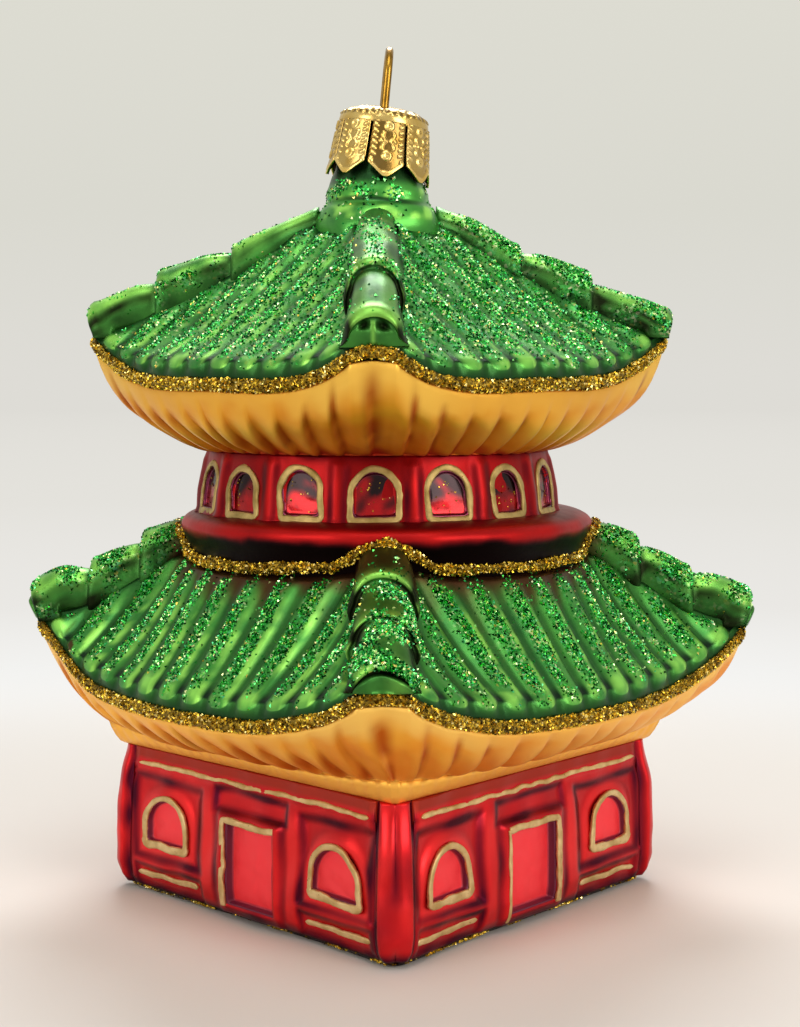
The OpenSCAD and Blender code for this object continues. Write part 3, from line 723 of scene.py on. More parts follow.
def hip_section(row, foot_z, foot_half, belly):
    """Points of one row, from the foot of one flank over the ridge to the other foot. The
    flank bellies out under the tile's shoulder and closes in to foot_half."""
    high = row.half * 0.85
    axis = row.crest - high
    flank = mix(row.half, foot_half, SKIRT ** 2) + belly * np.sin(math.pi * SKIRT)
    y = np.concatenate([flank[::-1], row.half * np.cos(ARC), -flank])
    z = over_hip(mix(axis, foot_z, SKIRT), axis + high * np.sin(ARC) ** 1.1)
    return np.stack([np.full_like(y, row.r), y, z], -1)


def hip_grid(roof, rows, end_foot_z, wobble):
    """Points of a hip on the +X side, and its fields."""
    down = over_hip(SKIRT, 0 * ARC)
    high = over_hip(0 * SKIRT, np.sin(ARC))
    lean = over_hip(0 * SKIRT, np.abs(np.cos(ARC)))
    grid, shade, glow = [], [], []
    corner, half = roof.eave.corner, roof.eave.hip_half
    for row in rows:
        tipped = float(ease(corner - 3, corner + 0.4, row.r))
        foot_z = mix(roof.bed(min(row.r, corner)) - 0.5, end_foot_z, tipped)
        section = hip_section(row, foot_z, mix(row.half + 0.05, half + 1.2, tipped), mix(0.45, 0.1, tipped))
        section[:, 0] -= tipped * set_back(row.crest - section[:, 2])
        grid.append(section)
        # Painted shade down the flanks and in dark rows, less on top, and a painted highlight along each
        # shoulder.
        dark = 0.1 + 1.2 * down ** 0.7 + 0.75 * ease(0.78, 1, lean) - 0.2 * high + row.dark
        shade.append(np.clip(dark, 0, 1))
        glow.append(bump(lean, 0.62, 0.2, 0.25) * float(ease(0.02, 0.2, row.along)))
    grid = np.array(grid)
    grid[..., 2] += 0.25 * wobble(grid)
    grid[..., 1] += 0.2 * wobble(grid + 40)
    return grid, np.array(shade), np.array(glow)


def set_back(below):
    """How far a hip's end lies back, below its crest."""
    return 0.16 * below + 0.045 * below ** 2


def hollow_end(a, t, ragged):
    """An upper hip's end at a across it and t down it: depth, and how dark and how bright.
    It has two hollows in painted shade beside a ridge with a painted highlight."""
    spot = np.exp(-((a + 0.4) / 0.2) ** 2 - ((t - 0.22) / 0.15) ** 2)
    spot = spot + np.exp(-((a - 0.42) / 0.26) ** 2 - ((t - 0.26) / 0.17) ** 2)
    ridge = np.exp(-(a / 0.09) ** 2) * ease(0.05, 0.2, t)
    depth = 0.3 * bump(t, 0.08, 0.03, 0.07) + 1.3 * spot - 0.25 * ridge
    return depth, 0.35 + 0.8 * spot - 0.3 * ridge, 0.5 * ridge


def lobed_end(a, t, ragged):
    """The same for a lower hip's end: a jagged gap in painted shade over two soft lobes, one
    with a faint painted highlight.
    """
    gap = bump(t, 0.1, 0.04, 0.1) * ragged
    lobe = np.exp(-((np.abs(a) - 0.6) / 0.42) ** 2) * ease(0.12, 0.4, t)
    return 0.8 * gap - 0.7 * lobe, 0.4 + 0.9 * gap - 0.25 * lobe * ragged, 0.25 * lobe * (a > 0)


def hip_end_face(roof, last, crest, foot_z, face, rough):
    """The end of a hip, as rows from under its lip down to its foot, with their painted shade
    and painted highlight."""
    rows, dark, bright = [], [], []
    a = last[:, 1] / roof.eave.hip_half
    x0 = (last[:, 0] + set_back(crest - last[:, 2])).max()
    for t in END_ROWS:
        row = last.copy()
        row[:, 1] *= 1 - 0.05 * bump(t, 0.1, 0.04, 0.08)
        row[:, 2] = mix(last[:, 2], foot_z, t)
        inside = np.clip((1 - (row[:, 1] / last[:, 1].max()) ** 2) * 3, 0, 1)
        depth, dark_here, bright_here = face(a, t, 1 + 0.6 * rough(row))
        row[:, 0] = x0 - set_back(crest - row[:, 2]) - depth * inside
        rows.append(row)
        dark.append(dark_here)
        bright.append(bright_here)
    return np.array(rows), np.clip(dark, 0, 1), np.clip(bright, 0, 1)


def hip_pieces(roof, name, corners, end_foot_z, seed, stain_near, face):
    """The four hips of a roof. corners holds each hip's tiles, the tiles' half widths at
    their two ends as parts of the hip's, and how much glitter each tile carries."""
    rng = np.random.default_rng(seed)
    crest = over_hip(0.25 * (1 - SKIRT), np.sin(ARC) ** 0.6 + 0.1)
    for k, corner in enumerate(CORNERS):
        tiles, widths, amounts = corners[k]
        rows = hip_rows(roof, tiles, widths)
        along = np.array([row.along for row in rows])[:, None]
        amount = np.array([amounts[row.tile] for row in rows])[:, None]
        wobble, patchy = Waves(seed + 10 + k, 9), Waves(seed + 30 + k, 5)
        grid, shade, glow = hip_grid(roof, rows, end_foot_z, wobble)
        end, end_dark, end_bright = hip_end_face(roof, grid[-1], rows[-1].crest, end_foot_z, face, patchy)
        whole = at_corner(k, np.concatenate([grid, end]))
        solid = capped(whole)
        grid = whole[:len(grid)]
        glow = glow * patchy.part(grid, 0.8, 0.7)
        # The front hip gets more painted shade and keeps its painted highlight mostly on its lips.
        if k == FRONT_RIGHT:
            shade = shade + 0.45
            glow = np.maximum(0.4 * glow, 0.8 * (along == 1.0))
        shade = shade * patchy.part(grid + 20, 0.85, 0.5, 0.3, 1.2)
        weight = crest[None] * amount * (0.15 + 0.85 * ease(0.15, 0.6, along))
        weight = weight * patchy.part(grid, 0.5, 1.4, 0.005, None)
        bed = np.zeros(len(solid[0]))
        bed[:weight.size] = 0.9 * np.clip(1.4 * weight.ravel(), 0, 1)
        # A brown tint near the roof's top circle, reaching further on the front hip.
        tint_reach = (5.5, 8) if k == FRONT_RIGHT else (1.5, 4)
        fields = {"shade": np.clip(np.append(np.concatenate([shade, end_dark]), [0.5, 0.6]), 0, 1),
                  "glow": np.append(np.concatenate([glow, end_bright]), [0, 0]),
                  "stain": stain_near * fade(*tint_reach, radius(solid[0]) - roof.top_r),
                  "grit": bed}
        make_piece(f"{name}_{corner}_tiles", solid, HIP_GREEN, [f"{name}_{corner}"],
                   fields=fields)
        place = scatter(grid, weight, int(HIP_FLAKES * np.mean(amounts)), rng)
        glitter_piece(f"{name}_{corner}_glitter", [place], GREEN_FLAKES, rng, lean=36)


# ---- Soffits ----

FLUTE_DEPTH = 1.0


def soffit_block(points, phase, f, s, patchy, near_foot):
    """Flutes one stretch of a soffit and works out its fields. points holds its columns by
    row, phase the place of each column in its flute and f how near a corner it is."""
    swelling = ease(0, 0.72, phase) * fade(0.84, 1, phase)
    groove = fade(0.0, 0.26, np.minimum(np.abs(phase - 0.98), np.abs(phase + 0.02)))
    window = np.clip(4 * s * (1 - s), 0, 1) ** 0.6
    rows = len(s)
    points[:rows, :, 2] -= FLUTE_DEPTH * window * swelling
    outer = points[:rows]
    red, foot_highlight, red_reach = near_foot
    # The grooves are darker, partly the lacquer's own orange and partly painted shade, and there is painted
    # shade near the foot; painted highlights lie along the crest by the band, on the swellings and along the
    # foot; red overspray reaches up from the foot.
    corner = ease(0.45, 0.9, np.abs(f))
    finger = groove * bump(s, 0.66, 0.12 + 0.12 * corner, 0.12) * (0.65 + 0.35 * corner)
    line = groove * bump(s, 0.4, 0.35, 0.15) * 0.8
    shade, glow, stain = (np.zeros(points.shape[:2]) for _ in range(3))
    mottled = patchy.part(outer, 0.7, 0.7)
    shade[:rows] = np.maximum(finger, line) * mottled + 0.35 * fade(0, 0.5, s) * (1 - foot_highlight)
    crest = ease(0.84, 0.95, s + 0.05 * patchy(outer)) * (0.55 + 0.45 * corner)
    glow[:rows] = np.maximum(crest, 0.6 * swelling * (1 - corner) * bump(s, 0.7, 0.1, 0.3))
    glow[:rows] = np.maximum(glow[:rows], foot_highlight * fade(0, 0.2, s))
    stain[:rows] = red * fade(0, red_reach, s - 0.1 * patchy(outer))
    glow[rows:] = foot_highlight
    stain[rows:] = red
    return [points.transpose(1, 0, 2)] + [np.clip(v, 0, 1).T for v in (shade, glow, stain)]


def soffit_piece(eave, name, material, flutes, straight, curl, feet, near_foot, seed):
    """A fluted bowl from a storey's top out to the eave's glitter band. Each flute has a
    soft side and a sharp side, with a deep orange groove between two flutes, its colour
    partly the lacquer's own and partly painted shade. near_foot is the red overspray at the
    foot, the painted highlight along the foot and how far up the overspray goes."""
    wobble, patchy = Waves(seed, 12), Waves(seed + 1, 6)
    rows = np.concatenate([[1.0, 0.985], np.linspace(0.96, 0, 20)])
    s = rows[:, None]
    f = np.linspace(-1, 1, int(2 * eave.end / SOFFIT_STEP) | 1)
    turn = np.mod(f * flutes / 2 + 0.15 * np.sign(f), 1)
    sides = []
    for k in range(4):
        foot = feet(f)
        top_u, top_v, top_z = eave.u(f), eave.v(f), eave.z(f) - BAND_HALF
        rise = straight * s + (1 - straight) * s ** curl
        first, last = foot[0], foot[-1]
        outer = on_face(k, mix(first[0], top_u, s), mix(first[1], top_v, s), mix(first[2], top_z, rise))
        outer[..., 2] += 0.25 * wobble(outer) * (1 - s) * s * 4
        inner = [(last[0] * 0.9, last[1] * 0.9, last[2]), (top_u * 0.95, top_v - 1.5, top_z + 0.5),
                 (top_u, top_v - 0.3, top_z + 0.6)]
        sides.append(np.concatenate([outer, [on_face(k, *row) for row in foot + inner]]))
    blocks = []
    t = np.linspace(0, 1, 20)[1:-1]
    belly = 0.5 * np.sin(math.pi * t)[None, :, None] * (s * (1 - s) * 4)[..., None]
    for k in range(4):
        end, start = sides[k][:, -1:], sides[(k + 1) % 4][:, :1]
        across = mix(end, start, t[None, :, None])
        across[:len(rows)] += corner_way(k) * belly
        across[:len(rows)] += corner_arch(k, t)[None] * (s ** 6)[..., None]
        blocks.append(soffit_block(sides[k].copy(), turn, f, s, patchy, near_foot))
        blocks.append(soffit_block(across, np.mod(0.65 + 0.7 * t, 1), 0 * t + 1, s, patchy, near_foot))
    columns, *values = [np.concatenate(parts) for parts in zip(*blocks)]
    make_piece(f"{name}_bowl", ring(columns), material, [name],
               fields=dict(zip(("shade", "glow", "stain"), values)))


# The lip's rows: how far out, how much is cut off its corner, height and rise at the corner.
LIP = ((27.9, 0.6, 22.7, 1), (27.6, 0.6, 21.9, 0.7), (27.2, 0.6, 21.3, 0.3), (26.6, 0.4, 20.6, 0.1),
       (26.0, 0.3, 20.3, 0))
LIP_STILL_Z = 20.5
DRUM_TOP_R = 23.4


def low_feet(f):
    """The rounded, uneven lip over the square wall top."""
    wavy = 0.12 * np.cos(f * 26 * math.pi + 2 * np.sin(5 * f)) + 0.1 * np.sin(f * 9 + 1)
    feet = []
    for v, cut, z, rise in LIP:
        loose = wavy * (z > LIP_STILL_Z)
        feet.append((f * (v - cut * SQRT2), v + loose, z + rise * np.abs(f) ** 4 + loose * 0.6))
    return feet


def top_feet(f):
    """The circle where the bowl meets the round storey."""
    half_angle = math.radians(45) - math.atan(TOP_EAVE.hip_half / TOP_EAVE.corner)
    z = box_mm("upper_storey")[1][2]
    return [(DRUM_TOP_R * np.sin(f * half_angle), DRUM_TOP_R * np.cos(f * half_angle), np.full_like(f, z))]


# ---- Glitter bands ----

# Out and up from a band's centre, its front first and its hidden back last.
BAND_FRONT = ((0, 1), (0.35, 0.85), (0.62, 0.45), (0.7, 0), (0.62, -0.45), (0.35, -0.85), (0, -1))
BAND_BACK = ((-0.6, -0.5), (-0.6, 0.5))


def band_piece(name, node, centre, outward, seed, flake_count, height, depth, lumpy=1.0):
    """A lumpy raised band of gold glitter along a closed line. centre is the line and
    outward the level direction away from the middle at each point."""
    rng = np.random.default_rng(seed)
    lumps, swells = Waves(seed, 0.9, 20), Waves(seed + 1, 5)
    sections = []
    for out, up in BAND_FRONT + BAND_BACK:
        line = centre + outward * (out * depth) + UP * (up * height)
        push = lumpy * (0.11 * lumps(line) + 0.12 * swells(line))
        sections.append(line + push[:, None] * (outward * max(out, 0) * 1.6 + UP * (0.7 * up)))
    grid = np.stack(sections, 1)
    make_piece(name, ring(grid), GOLD_GRIT, [node])
    front = grid[:, :len(BAND_FRONT)]
    places = scatter(front, np.ones(front.shape[:2]), flake_count, rng)
    glitter_piece(f"{name}_flakes", [places], GOLD_FLAKES, rng, size=(0.4, 0.7), lift=0.08, lean=40)


def corner_arch(k, t):
    """How an eave rounds out and up across corner k, at t from 0 to 1."""
    return np.sin(math.pi * t)[:, None] * (0.45 * corner_way(k) + 0.5 * UP)


def eave_band(eave, name, node, seed, flake_count):
    """The glitter band round one eave, with a few points across each corner."""
    centre, outward = [], []
    f = np.linspace(-1, 1, int(2 * eave.end / BAND_STEP))
    t = np.linspace(0, 1, 9)[1:-1]
    slant = np.sign(f) * ease(0.9, 1, np.abs(f)) * math.radians(40)
    sides = [on_face(k, eave.u(f), eave.v(f), eave.z(f)) for k in range(4)]
    for k in range(4):
        corner = mix(sides[k][-1], sides[(k + 1) % 4][0], t[:, None]) + corner_arch(k, t)
        centre += [sides[k], corner]
        outward += [on_face(k, np.sin(slant), np.cos(slant), np.zeros_like(f)),
                    np.tile(corner_way(k), (len(t), 1))]
    band_piece(name, node, np.vstack(centre), np.vstack(outward), seed, flake_count, height=0.8, depth=0.9)


GARLAND_Z = 47
# Half the angle that a hip's arch takes up, in degrees.
ARCH_HALF = 14


def garland():
    """The band where the ledge meets the lower roof, arching over each hip."""
    a = np.radians(np.arange(0, 360, 0.5))
    off = np.abs(np.degrees(a) % 90 - 45)
    arch = np.where(off < ARCH_HALF, (1 + np.cos(off * math.pi / ARCH_HALF)) / 2, 0)
    z = GARLAND_Z + 1.4 * (1 - off / 45) ** 2 + 2.5 * arch ** 0.7 + 0.2 * np.sin(9 * a) * np.sin(4 * a)
    centre = around(LOW_ROOF.top_r + 1.6 * arch, a, z)
    band_piece("ledge_garland", "ledge_glitter", centre, around(1.0, a, 0 * a), seed=144, flake_count=5000,
               height=0.66, depth=1.1, lumpy=1.8)


# ---- Walls ----

WALL_FOOT, WALL_TOP = 0.95, 20.3
WALL_BACK, WALL_OUT = 24.1 - 1.2, 26.5
CORNER_R = 2.6
POST_IN = 22.9
POST_REACH = WALL_OUT - CORNER_R + CORNER_R * math.pi / 4
DOOR_HALF, DOOR_FOOT, DOOR_TOP = 4.6, 2.3, 13.1
WINDOW_X, WINDOW_FOOT = 16.2, 7.75
PANE_W, PANE_H = 6.6, 5.9
LINE_W = 0.8
SILL_Z, LINTEL_Z = 2.9, 18.35
# Where each side's windows and door lie along it, and its windows' width, height and drop.
DRAWN_AT = ((-15.0, 1.4, 16.0), (-17.05, -0.85, 15.35), (-16.2, 0, 16.2), (-16.2, 0, 16.2))
DRAWN_AS = (((1.0, 1.0, 0.0), (1.2, 1.0, 0.5)), ((1.07, 1.0, 0.3), (1.0, 1.04, 0.0)),
            ((1.0, 1.0, 0.0), (1.05, 1.0, 0.2)), ((1.05, 1.0, 0.2), (1.0, 1.0, 0.0)))
# The wall's pressed bays: depth, across, up, softness of the edge and how dark the painted
# shade along that edge is.
BAYS = ((0.75, (9.9, 22.2), (5.5, 16.3), 2.3, 0.8), (0.6, (9.9, 22.2), (1.2, 4.2), 1.5, 0.7),
        (0.5, (-6.9, 6.9), (14.6, 17.3), 1.9, 0.8))
STOREY_ROWS = np.append(np.arange(WALL_FOOT, WALL_TOP - 0.1, STOREY_STEP), WALL_TOP)[:, None]


def slid(k, x):
    """Where the regular wall's x lies on side k."""
    return np.interp(x, [-POST_IN, -WINDOW_X, 0, WINDOW_X, POST_IN], [-POST_IN, *DRAWN_AT[k], POST_IN])


def window_size(k, side):
    """Width, foot and height of the pane on one side of side k's door."""
    wide, high, drop = DRAWN_AS[k][(side + 1) // 2]
    return PANE_W * wide, WINDOW_FOOT - drop, PANE_H * high


def wall_v(z):
    """The walls' slight belly."""
    return np.interp(z, [0.9, 2, 4, 8, 14, WALL_TOP], [25.6, 26.2, WALL_OUT, WALL_OUT, 26.3, 26.0])


def box_depth(x, z, across, up, soft):
    """1 inside a rounded rectangle, falling to 0 over soft outside its edge."""
    dx = np.maximum(across[0] - x, x - across[1])
    dz = np.maximum(up[0] - z, z - up[1])
    out = np.hypot(np.maximum(dx, 0), np.maximum(dz, 0)) + np.minimum(np.maximum(dx, dz), 0)
    return fade(-soft / 2, soft / 2, out)


def arch_gap(x, z, w, foot, h):
    """Distance outside an arch of width w and height h that stands at foot."""
    spring = foot + h - w / 2
    round_part = np.hypot(x, np.maximum(z - spring, 0)) - w / 2
    return np.maximum(round_part, foot - z)


def window_gap(k, x, z):
    """Distance outside the outer edge of the nearer window's painted line."""
    gaps = []
    for side in (-1, 1):
        w, foot, h = window_size(k, side)
        gaps.append(arch_gap(x - side * WINDOW_X, z, w + 2 * LINE_W, foot - LINE_W, h + 2 * LINE_W))
    return np.minimum(*gaps)


def wall_relief(k, x, z):
    """How far the wall stands out at x, z, how dark it is there and how bright. The dark is
    painted shade along the bays' edges, beside the door and by the posts, and a darkening
    towards the foot and at the door's foot; the bright is a painted highlight on the
    pilasters, round the windows and on the bar under them.
    """
    at = np.stack([x, z, 0 * x], -1)
    drift = Waves(44 + k, 12)
    a, high = np.abs(x), z + 0.3 * drift(at + 50)
    out, dark = np.zeros_like(a), np.zeros_like(a)
    for depth, across, up, soft, edge_shade in BAYS:
        inside = box_depth(a + 0.4 * drift(at), high, across, up, soft)
        out = out - depth * inside
        dark = np.maximum(dark, edge_shade * 4 * inside * (1 - inside) + 0.1 * inside)
    gap = window_gap(k, x, z)
    out = out + 0.3 * ease(17.4, 18.2, z) - 0.2 * bump(a, POST_IN, 0.05, 0.9)
    out = out + 0.4 * fade(0.2, 1.9, gap) - 1.2 * fade(-LINE_W, -LINE_W + 0.3, gap)
    out = out + 0.4 * box_depth(a, z, (-1, DOOR_HALF + 1.4), (0, DOOR_TOP + 1.3), 1.2)
    out = out - 1.7 * box_depth(a, z, (-1, DOOR_HALF), (DOOR_FOOT, DOOR_TOP), 0.4)
    dark = np.maximum.reduce([
        dark * ease(0.1, 1.3, gap),
        0.6 * bump(a, DOOR_HALF + 1.9, 0.2, 0.8) * fade(13.5, 15, z),
        0.95 * fade(1.0, 2.7, high),
        0.9 * fade(1.4, 2.8, z) * (a < DOOR_HALF),
        0.7 * bump(a, POST_IN, 0.1, 1.1)])
    bright = np.maximum.reduce([
        0.55 * bump(a, 8.3, 0.5, 0.9) * ease(2.5, 4.5, z) * fade(15, 17, z),
        0.6 * bump(gap, 0.5, 0.3, 0.8),
        0.5 * bump(high, 5.0, 0.2, 0.6) * ease(10, 11, a) * fade(21, 22.5, a)])
    return out, dark, bright


def storey_point(k, s, z, out):
    """A point of the lower storey at s along side k, round its corner where the side ends."""
    straight = wall_v(z) - CORNER_R
    past = np.clip(np.abs(s) - straight, 0, CORNER_R * math.pi / 4) / CORNER_R
    u = np.sign(s) * np.minimum(np.abs(s), straight) + (CORNER_R + out) * (np.sin(past) * np.sign(s))
    return on_face(k, u, straight + (CORNER_R + out) * np.cos(past), z)


def slab_piece(name, front, back, material, node, fields):
    """A closed piece from the rows of its front and its hidden back. fields holds, by name,
    the values over the front, on the back and at the middles of the ends."""
    made = {}
    for key, (values, hidden, end) in fields.items():
        whole = np.concatenate([values, np.full(back.shape[:2], hidden)])
        made[key] = np.append(whole.T, [end, end])
    solid = capped(np.concatenate([front, back]).transpose(1, 0, 2))
    make_piece(name, solid, material, [node], fields=made)


def wall_pieces():
    xs = np.linspace(-POST_IN, POST_IN, 143)[None, :]
    xs, zs = np.broadcast_arrays(xs, STOREY_ROWS)
    for k, face in enumerate(FACES):
        out, dark, bright = wall_relief(k, xs, zs)
        uneven = Waves(40 + k, 7)
        us, v = slid(k, xs), wall_v(zs) + out
        rough = uneven(on_face(k, us, v, zs))
        still = ease(POST_IN - 2, POST_IN, np.abs(xs))
        front = on_face(k, us, v + 0.16 * rough * (1 - still), zs)
        back = np.stack([on_face(k, us[0], WALL_BACK, z) for z in (WALL_TOP, WALL_FOOT)])
        # Painted shade, mottled where the wall stands out, a painted highlight, and a brown-red tint along
        # the top band.
        shade = np.clip(dark * (1 + 0.25 * rough) + 0.15 * np.clip(rough, 0, 1), 0, 1)
        fields = {"shade": (shade, 1, 0), "glow": (np.clip(bright * (1 - dark), 0, 1), 0, 0),
                  "stain": (ease(18.7, 19.2, zs), 0, 0)}
        slab_piece(f"wall_{face}_lacquer", front, back, RED, f"wall_{face}", fields)


def post_half(k, flip, xs, zs, uneven):
    """Points of one half of a post, on side k, and how dark and how bright they are: mottled
    painted shade, strongest at its inner edge and in its groove and darkening towards its
    foot, and a painted highlight down its middle. The post stands out from its inner edge,
    with a groove down its middle."""
    edge = bump(xs, POST_IN + 0.1, 0.1, 0.9)
    out = 0.45 * ease(POST_IN + 0.1, POST_IN + 1.2, xs) - 0.2 * edge
    groove = bump(xs, POST_REACH, 0.1, 0.8) * ease(7.5, 11, zs) * fade(18.5, 20, zs)
    cut = 0.9 * fade(0.9, 3.5, zs) * ease(24, 26, xs)
    grid = storey_point(k, flip * xs, zs, out - 0.25 * groove - cut)
    grid = grid + unit(grid) * (0.12 * uneven(grid) * ease(POST_IN, POST_IN + 1.5, xs))[..., None]
    dark = np.maximum.reduce([0.8 * edge, 0.6 * groove, 0.85 * fade(1.0, 2.6, zs)])
    dark = np.clip(dark + 0.14 + 0.3 * uneven(grid + 30), 0, 1)
    bright = 0.4 * bump(xs, 24.9, 0.5, 0.8) * ease(2.5, 5, zs) * uneven.part(grid, 0.5, 1.4)
    return [part[:, ::flip] for part in (grid, dark, bright)]


def post_pieces():
    xs = np.linspace(POST_IN, POST_REACH, 28)[None, :]
    xs, zs = np.broadcast_arrays(xs, STOREY_ROWS)
    for k, corner in enumerate(CORNERS):
        uneven = Waves(50 + k, 6)
        halves = [post_half(k, 1, xs, zs, uneven), post_half(k + 1, -1, xs, zs, uneven)]
        front, dark, bright = [np.concatenate([a, b[:, 1:]], 1) for a, b in zip(*halves)]
        count = front.shape[1]
        inner = np.stack([np.full(count, 30.0), np.linspace(-4.0, 4.0, count), np.zeros(count)], -1)
        back = at_corner(k, inner) + np.array([WALL_TOP, WALL_FOOT])[:, None, None] * UP
        slab_piece(f"corner_post_{corner}_lacquer", front, back, RED,
                   f"corner_post_{corner}", {"shade": (dark, 1, 1), "glow": (bright, 0, 0)})


# ---- Panes and painted lines ----

def arch_path(w, foot, h, count=72):
    """Closed outline of an arch with a flat foot, evenly spaced, anticlockwise."""
    spring = foot + h - w / 2
    a = np.linspace(0, math.pi, 40)
    curve = np.stack([w / 2 * np.cos(a), spring + w / 2 * np.sin(a)], -1)
    corner = 0.45
    left = [(-w / 2, foot + corner), (-w / 2 + corner * 0.3, foot + corner * 0.3), (-w / 2 + corner, foot)]
    right = [(-x, z) for x, z in left[::-1]]
    return evenly(np.vstack([curve, left, right, curve[:1]]), count)[:-1]


def cup(path, place, rim, pane, rng):
    """A pane in its reveal: a closed solid whose front drops from rim to pane inside path.
    Its fields are painted shade in the reveal and the gloom, painted shade that darkens a
    drum window toward its top."""
    middle = path.mean(0)
    low, top = path[:, 1].min(), path[:, 1].max()
    middle[1] = mix(low, top, 0.45)
    loops, shade, gloom = [], [], []
    # Size as a part of the path's, how far out, and how much painted shade.
    rows = [(1.1, pane - 0.5, 1), (1.1, rim - 0.25, 1), (1.0, rim - 0.05, 1), (0.97, rim - 0.3, 1),
            (0.96, pane + 0.15, 0.95), (0.93, pane + 0.02, 0.6)]
    rows += [(q, pane, 0) for q in (0.88, 0.75, 0.6, 0.45, 0.3, 0.15)]
    uneven = drawn_waves(rng, 3.0)
    for q, out, dark in rows:
        line = middle + (path - middle) * q
        line[:, 1] = np.maximum(line[:, 1], 1.0)
        wave = uneven(np.column_stack([line, np.full(len(line), out)]))
        loops.append(place(line[:, 0], line[:, 1], out + 0.07 * wave * (q < 0.9)))
        shade.append(np.full(len(line), dark))
        gloom.append(ease(0.1, 0.7, (line[:, 1] - low) / (top - low) + 0.35 * wave))
    return capped(np.array(loops)), {"shade": np.append(shade, [1, 0]), "gloom": np.append(gloom, [1, 0.5])}


def gather(fields, key):
    return np.concatenate([one[key] for one in fields])


BEAD = ((1, -1.6), (1, 0.1), (0.82, 0.8), (0.4, 1.0), (-0.4, 1.0), (-0.82, 0.8), (-1, 0.1), (-1, -1.6))


def stroke(path, width, place, out, closed, rng, thick=0.15):
    """A painted line: a low rounded bead of uneven width along path."""
    way = np.roll(path, -1, 0) - np.roll(path, 1, 0) if closed else np.gradient(path, axis=0)
    way = unit(way)
    side = np.stack([-way[:, 1], way[:, 0]], -1)
    flat = np.column_stack([path, np.zeros(len(path))])
    slow, quick, wander, height = [drawn_waves(rng, size)(flat) for size in (3.0, 0.8, 4.5, 1.3)]
    half = width * (1 + 0.18 * slow + 0.06 * quick) / 2
    high = thick * (1 + 0.25 * height)
    loops = []
    for across, up in BEAD:
        line = path + side * (across * half + 0.14 * wander)[:, None]
        loops.append(place(line[:, 0], line[:, 1], out + high * up))
    sections = np.array(loops).transpose(1, 0, 2)
    return ring(sections) if closed else capped(sections)


def bar(from_x, to_x, z, slant, wide, count=90):
    """A level line with rounded ends, as a path and its widths."""
    t = np.linspace(0, 1, count)
    path = np.column_stack([mix(from_x, to_x, t), z + slant * (t - 0.5)])
    end = np.minimum(t, 1 - t) * abs(to_x - from_x)
    return path, wide * np.sqrt(np.clip(end / 0.5, 0.02, 1))


def door_strokes(k, place, rng):
    """The painted line of a door, from the foot of its thick side up and over the top."""
    thick_side = -1 if k in (0, 2) else 1
    x, top = DOOR_HALF + 0.4, DOOR_TOP + 0.4
    points = [(x, 2.0), (x, top - 0.4), (x - 0.12, top - 0.12), (x - 0.4, top), (-x, top - 0.05)]
    line = evenly(np.array(points) * [thick_side, 1], 130)
    strokes = [stroke(line, 0.9, place, 0.42, False, rng)]
    if k in (1, 3):
        thin = evenly(np.array([(-thick_side * x, 1.3), (-thick_side * x, top)]), 80)
        strokes.append(stroke(thin, 0.5, place, 0.42, False, rng, thick=0.12))
    return strokes


def window_parts(k, place, side, rng):
    """One window of the lower storey: its pane, its outline and the sill line under it."""
    w, foot, h = window_size(k, side)
    skew, taper = rng.uniform(-0.04, 0.04), rng.uniform(0.0, 0.02)

    def set_up(line):
        up = line[:, 1:] - foot
        return np.hstack([line[:, :1] * (1 - taper * up) + skew * up + side * WINDOW_X, line[:, 1:]])

    pane, fields = cup(set_up(arch_path(w + 0.2, foot, h)), place, 0.0, -0.85, rng)
    line = set_up(arch_path(w + LINE_W, foot - LINE_W / 2, h + LINE_W, 110))
    width = LINE_W * (1 + 0.35 * (line[:, 1] < foot + 0.2))
    outline = stroke(line, width, place, 0.02, True, rng)
    half = rng.uniform(5.3, 5.8)
    sill, widths = bar(side * WINDOW_X - half, side * WINDOW_X + half, SILL_Z, rng.uniform(-0.3, 0.3), 0.8)
    return pane, fields, [outline, stroke(sill, widths, place, -0.5, False, rng)]


def front_pieces():
    """Windows, doors and painted lines of each side of the lower storey. A door's outline
    is thick over its top and on one side, and missing or thin on the other."""
    for k, face in enumerate(FACES):
        rng = np.random.default_rng(60 + k)

        def place(x, z, out):
            return on_face(k, slid(k, x), wall_v(z) + out, z)

        panes, fields, lines = zip(*[window_parts(k, place, side, rng) for side in (-1, 1)])
        make_piece(f"windows_{face}_panes", join(panes), PANE, [f"windows_{face}"],
                   fields={"shade": gather(fields, "shade")})
        x, top = DOOR_HALF - 0.05, DOOR_TOP + 0.05
        frame_line = np.array([(x, DOOR_FOOT), (x, top), (-x, top), (-x, DOOR_FOOT), (x, DOOR_FOOT)])
        pane, made = cup(evenly(frame_line, 120)[:-1], place, 0.15, -1.0, rng)
        make_piece(f"door_{face}_pane", pane, PANE, [f"door_{face}"],
                   fields={"shade": made["shade"]})
        strokes = [*lines[0], *lines[1], *door_strokes(k, place, rng)]
        lintel, widths = bar(-POST_IN + 1.2, POST_IN - 0.9, LINTEL_Z, rng.uniform(-0.3, 0.3), 0.62, 220)
        strokes.append(stroke(lintel, widths, place, 0.3, False, rng))
        make_piece(f"painted_lines_{face}", join(strokes), LINES, [f"gold_lines_{face}"])


# ---- Base ----

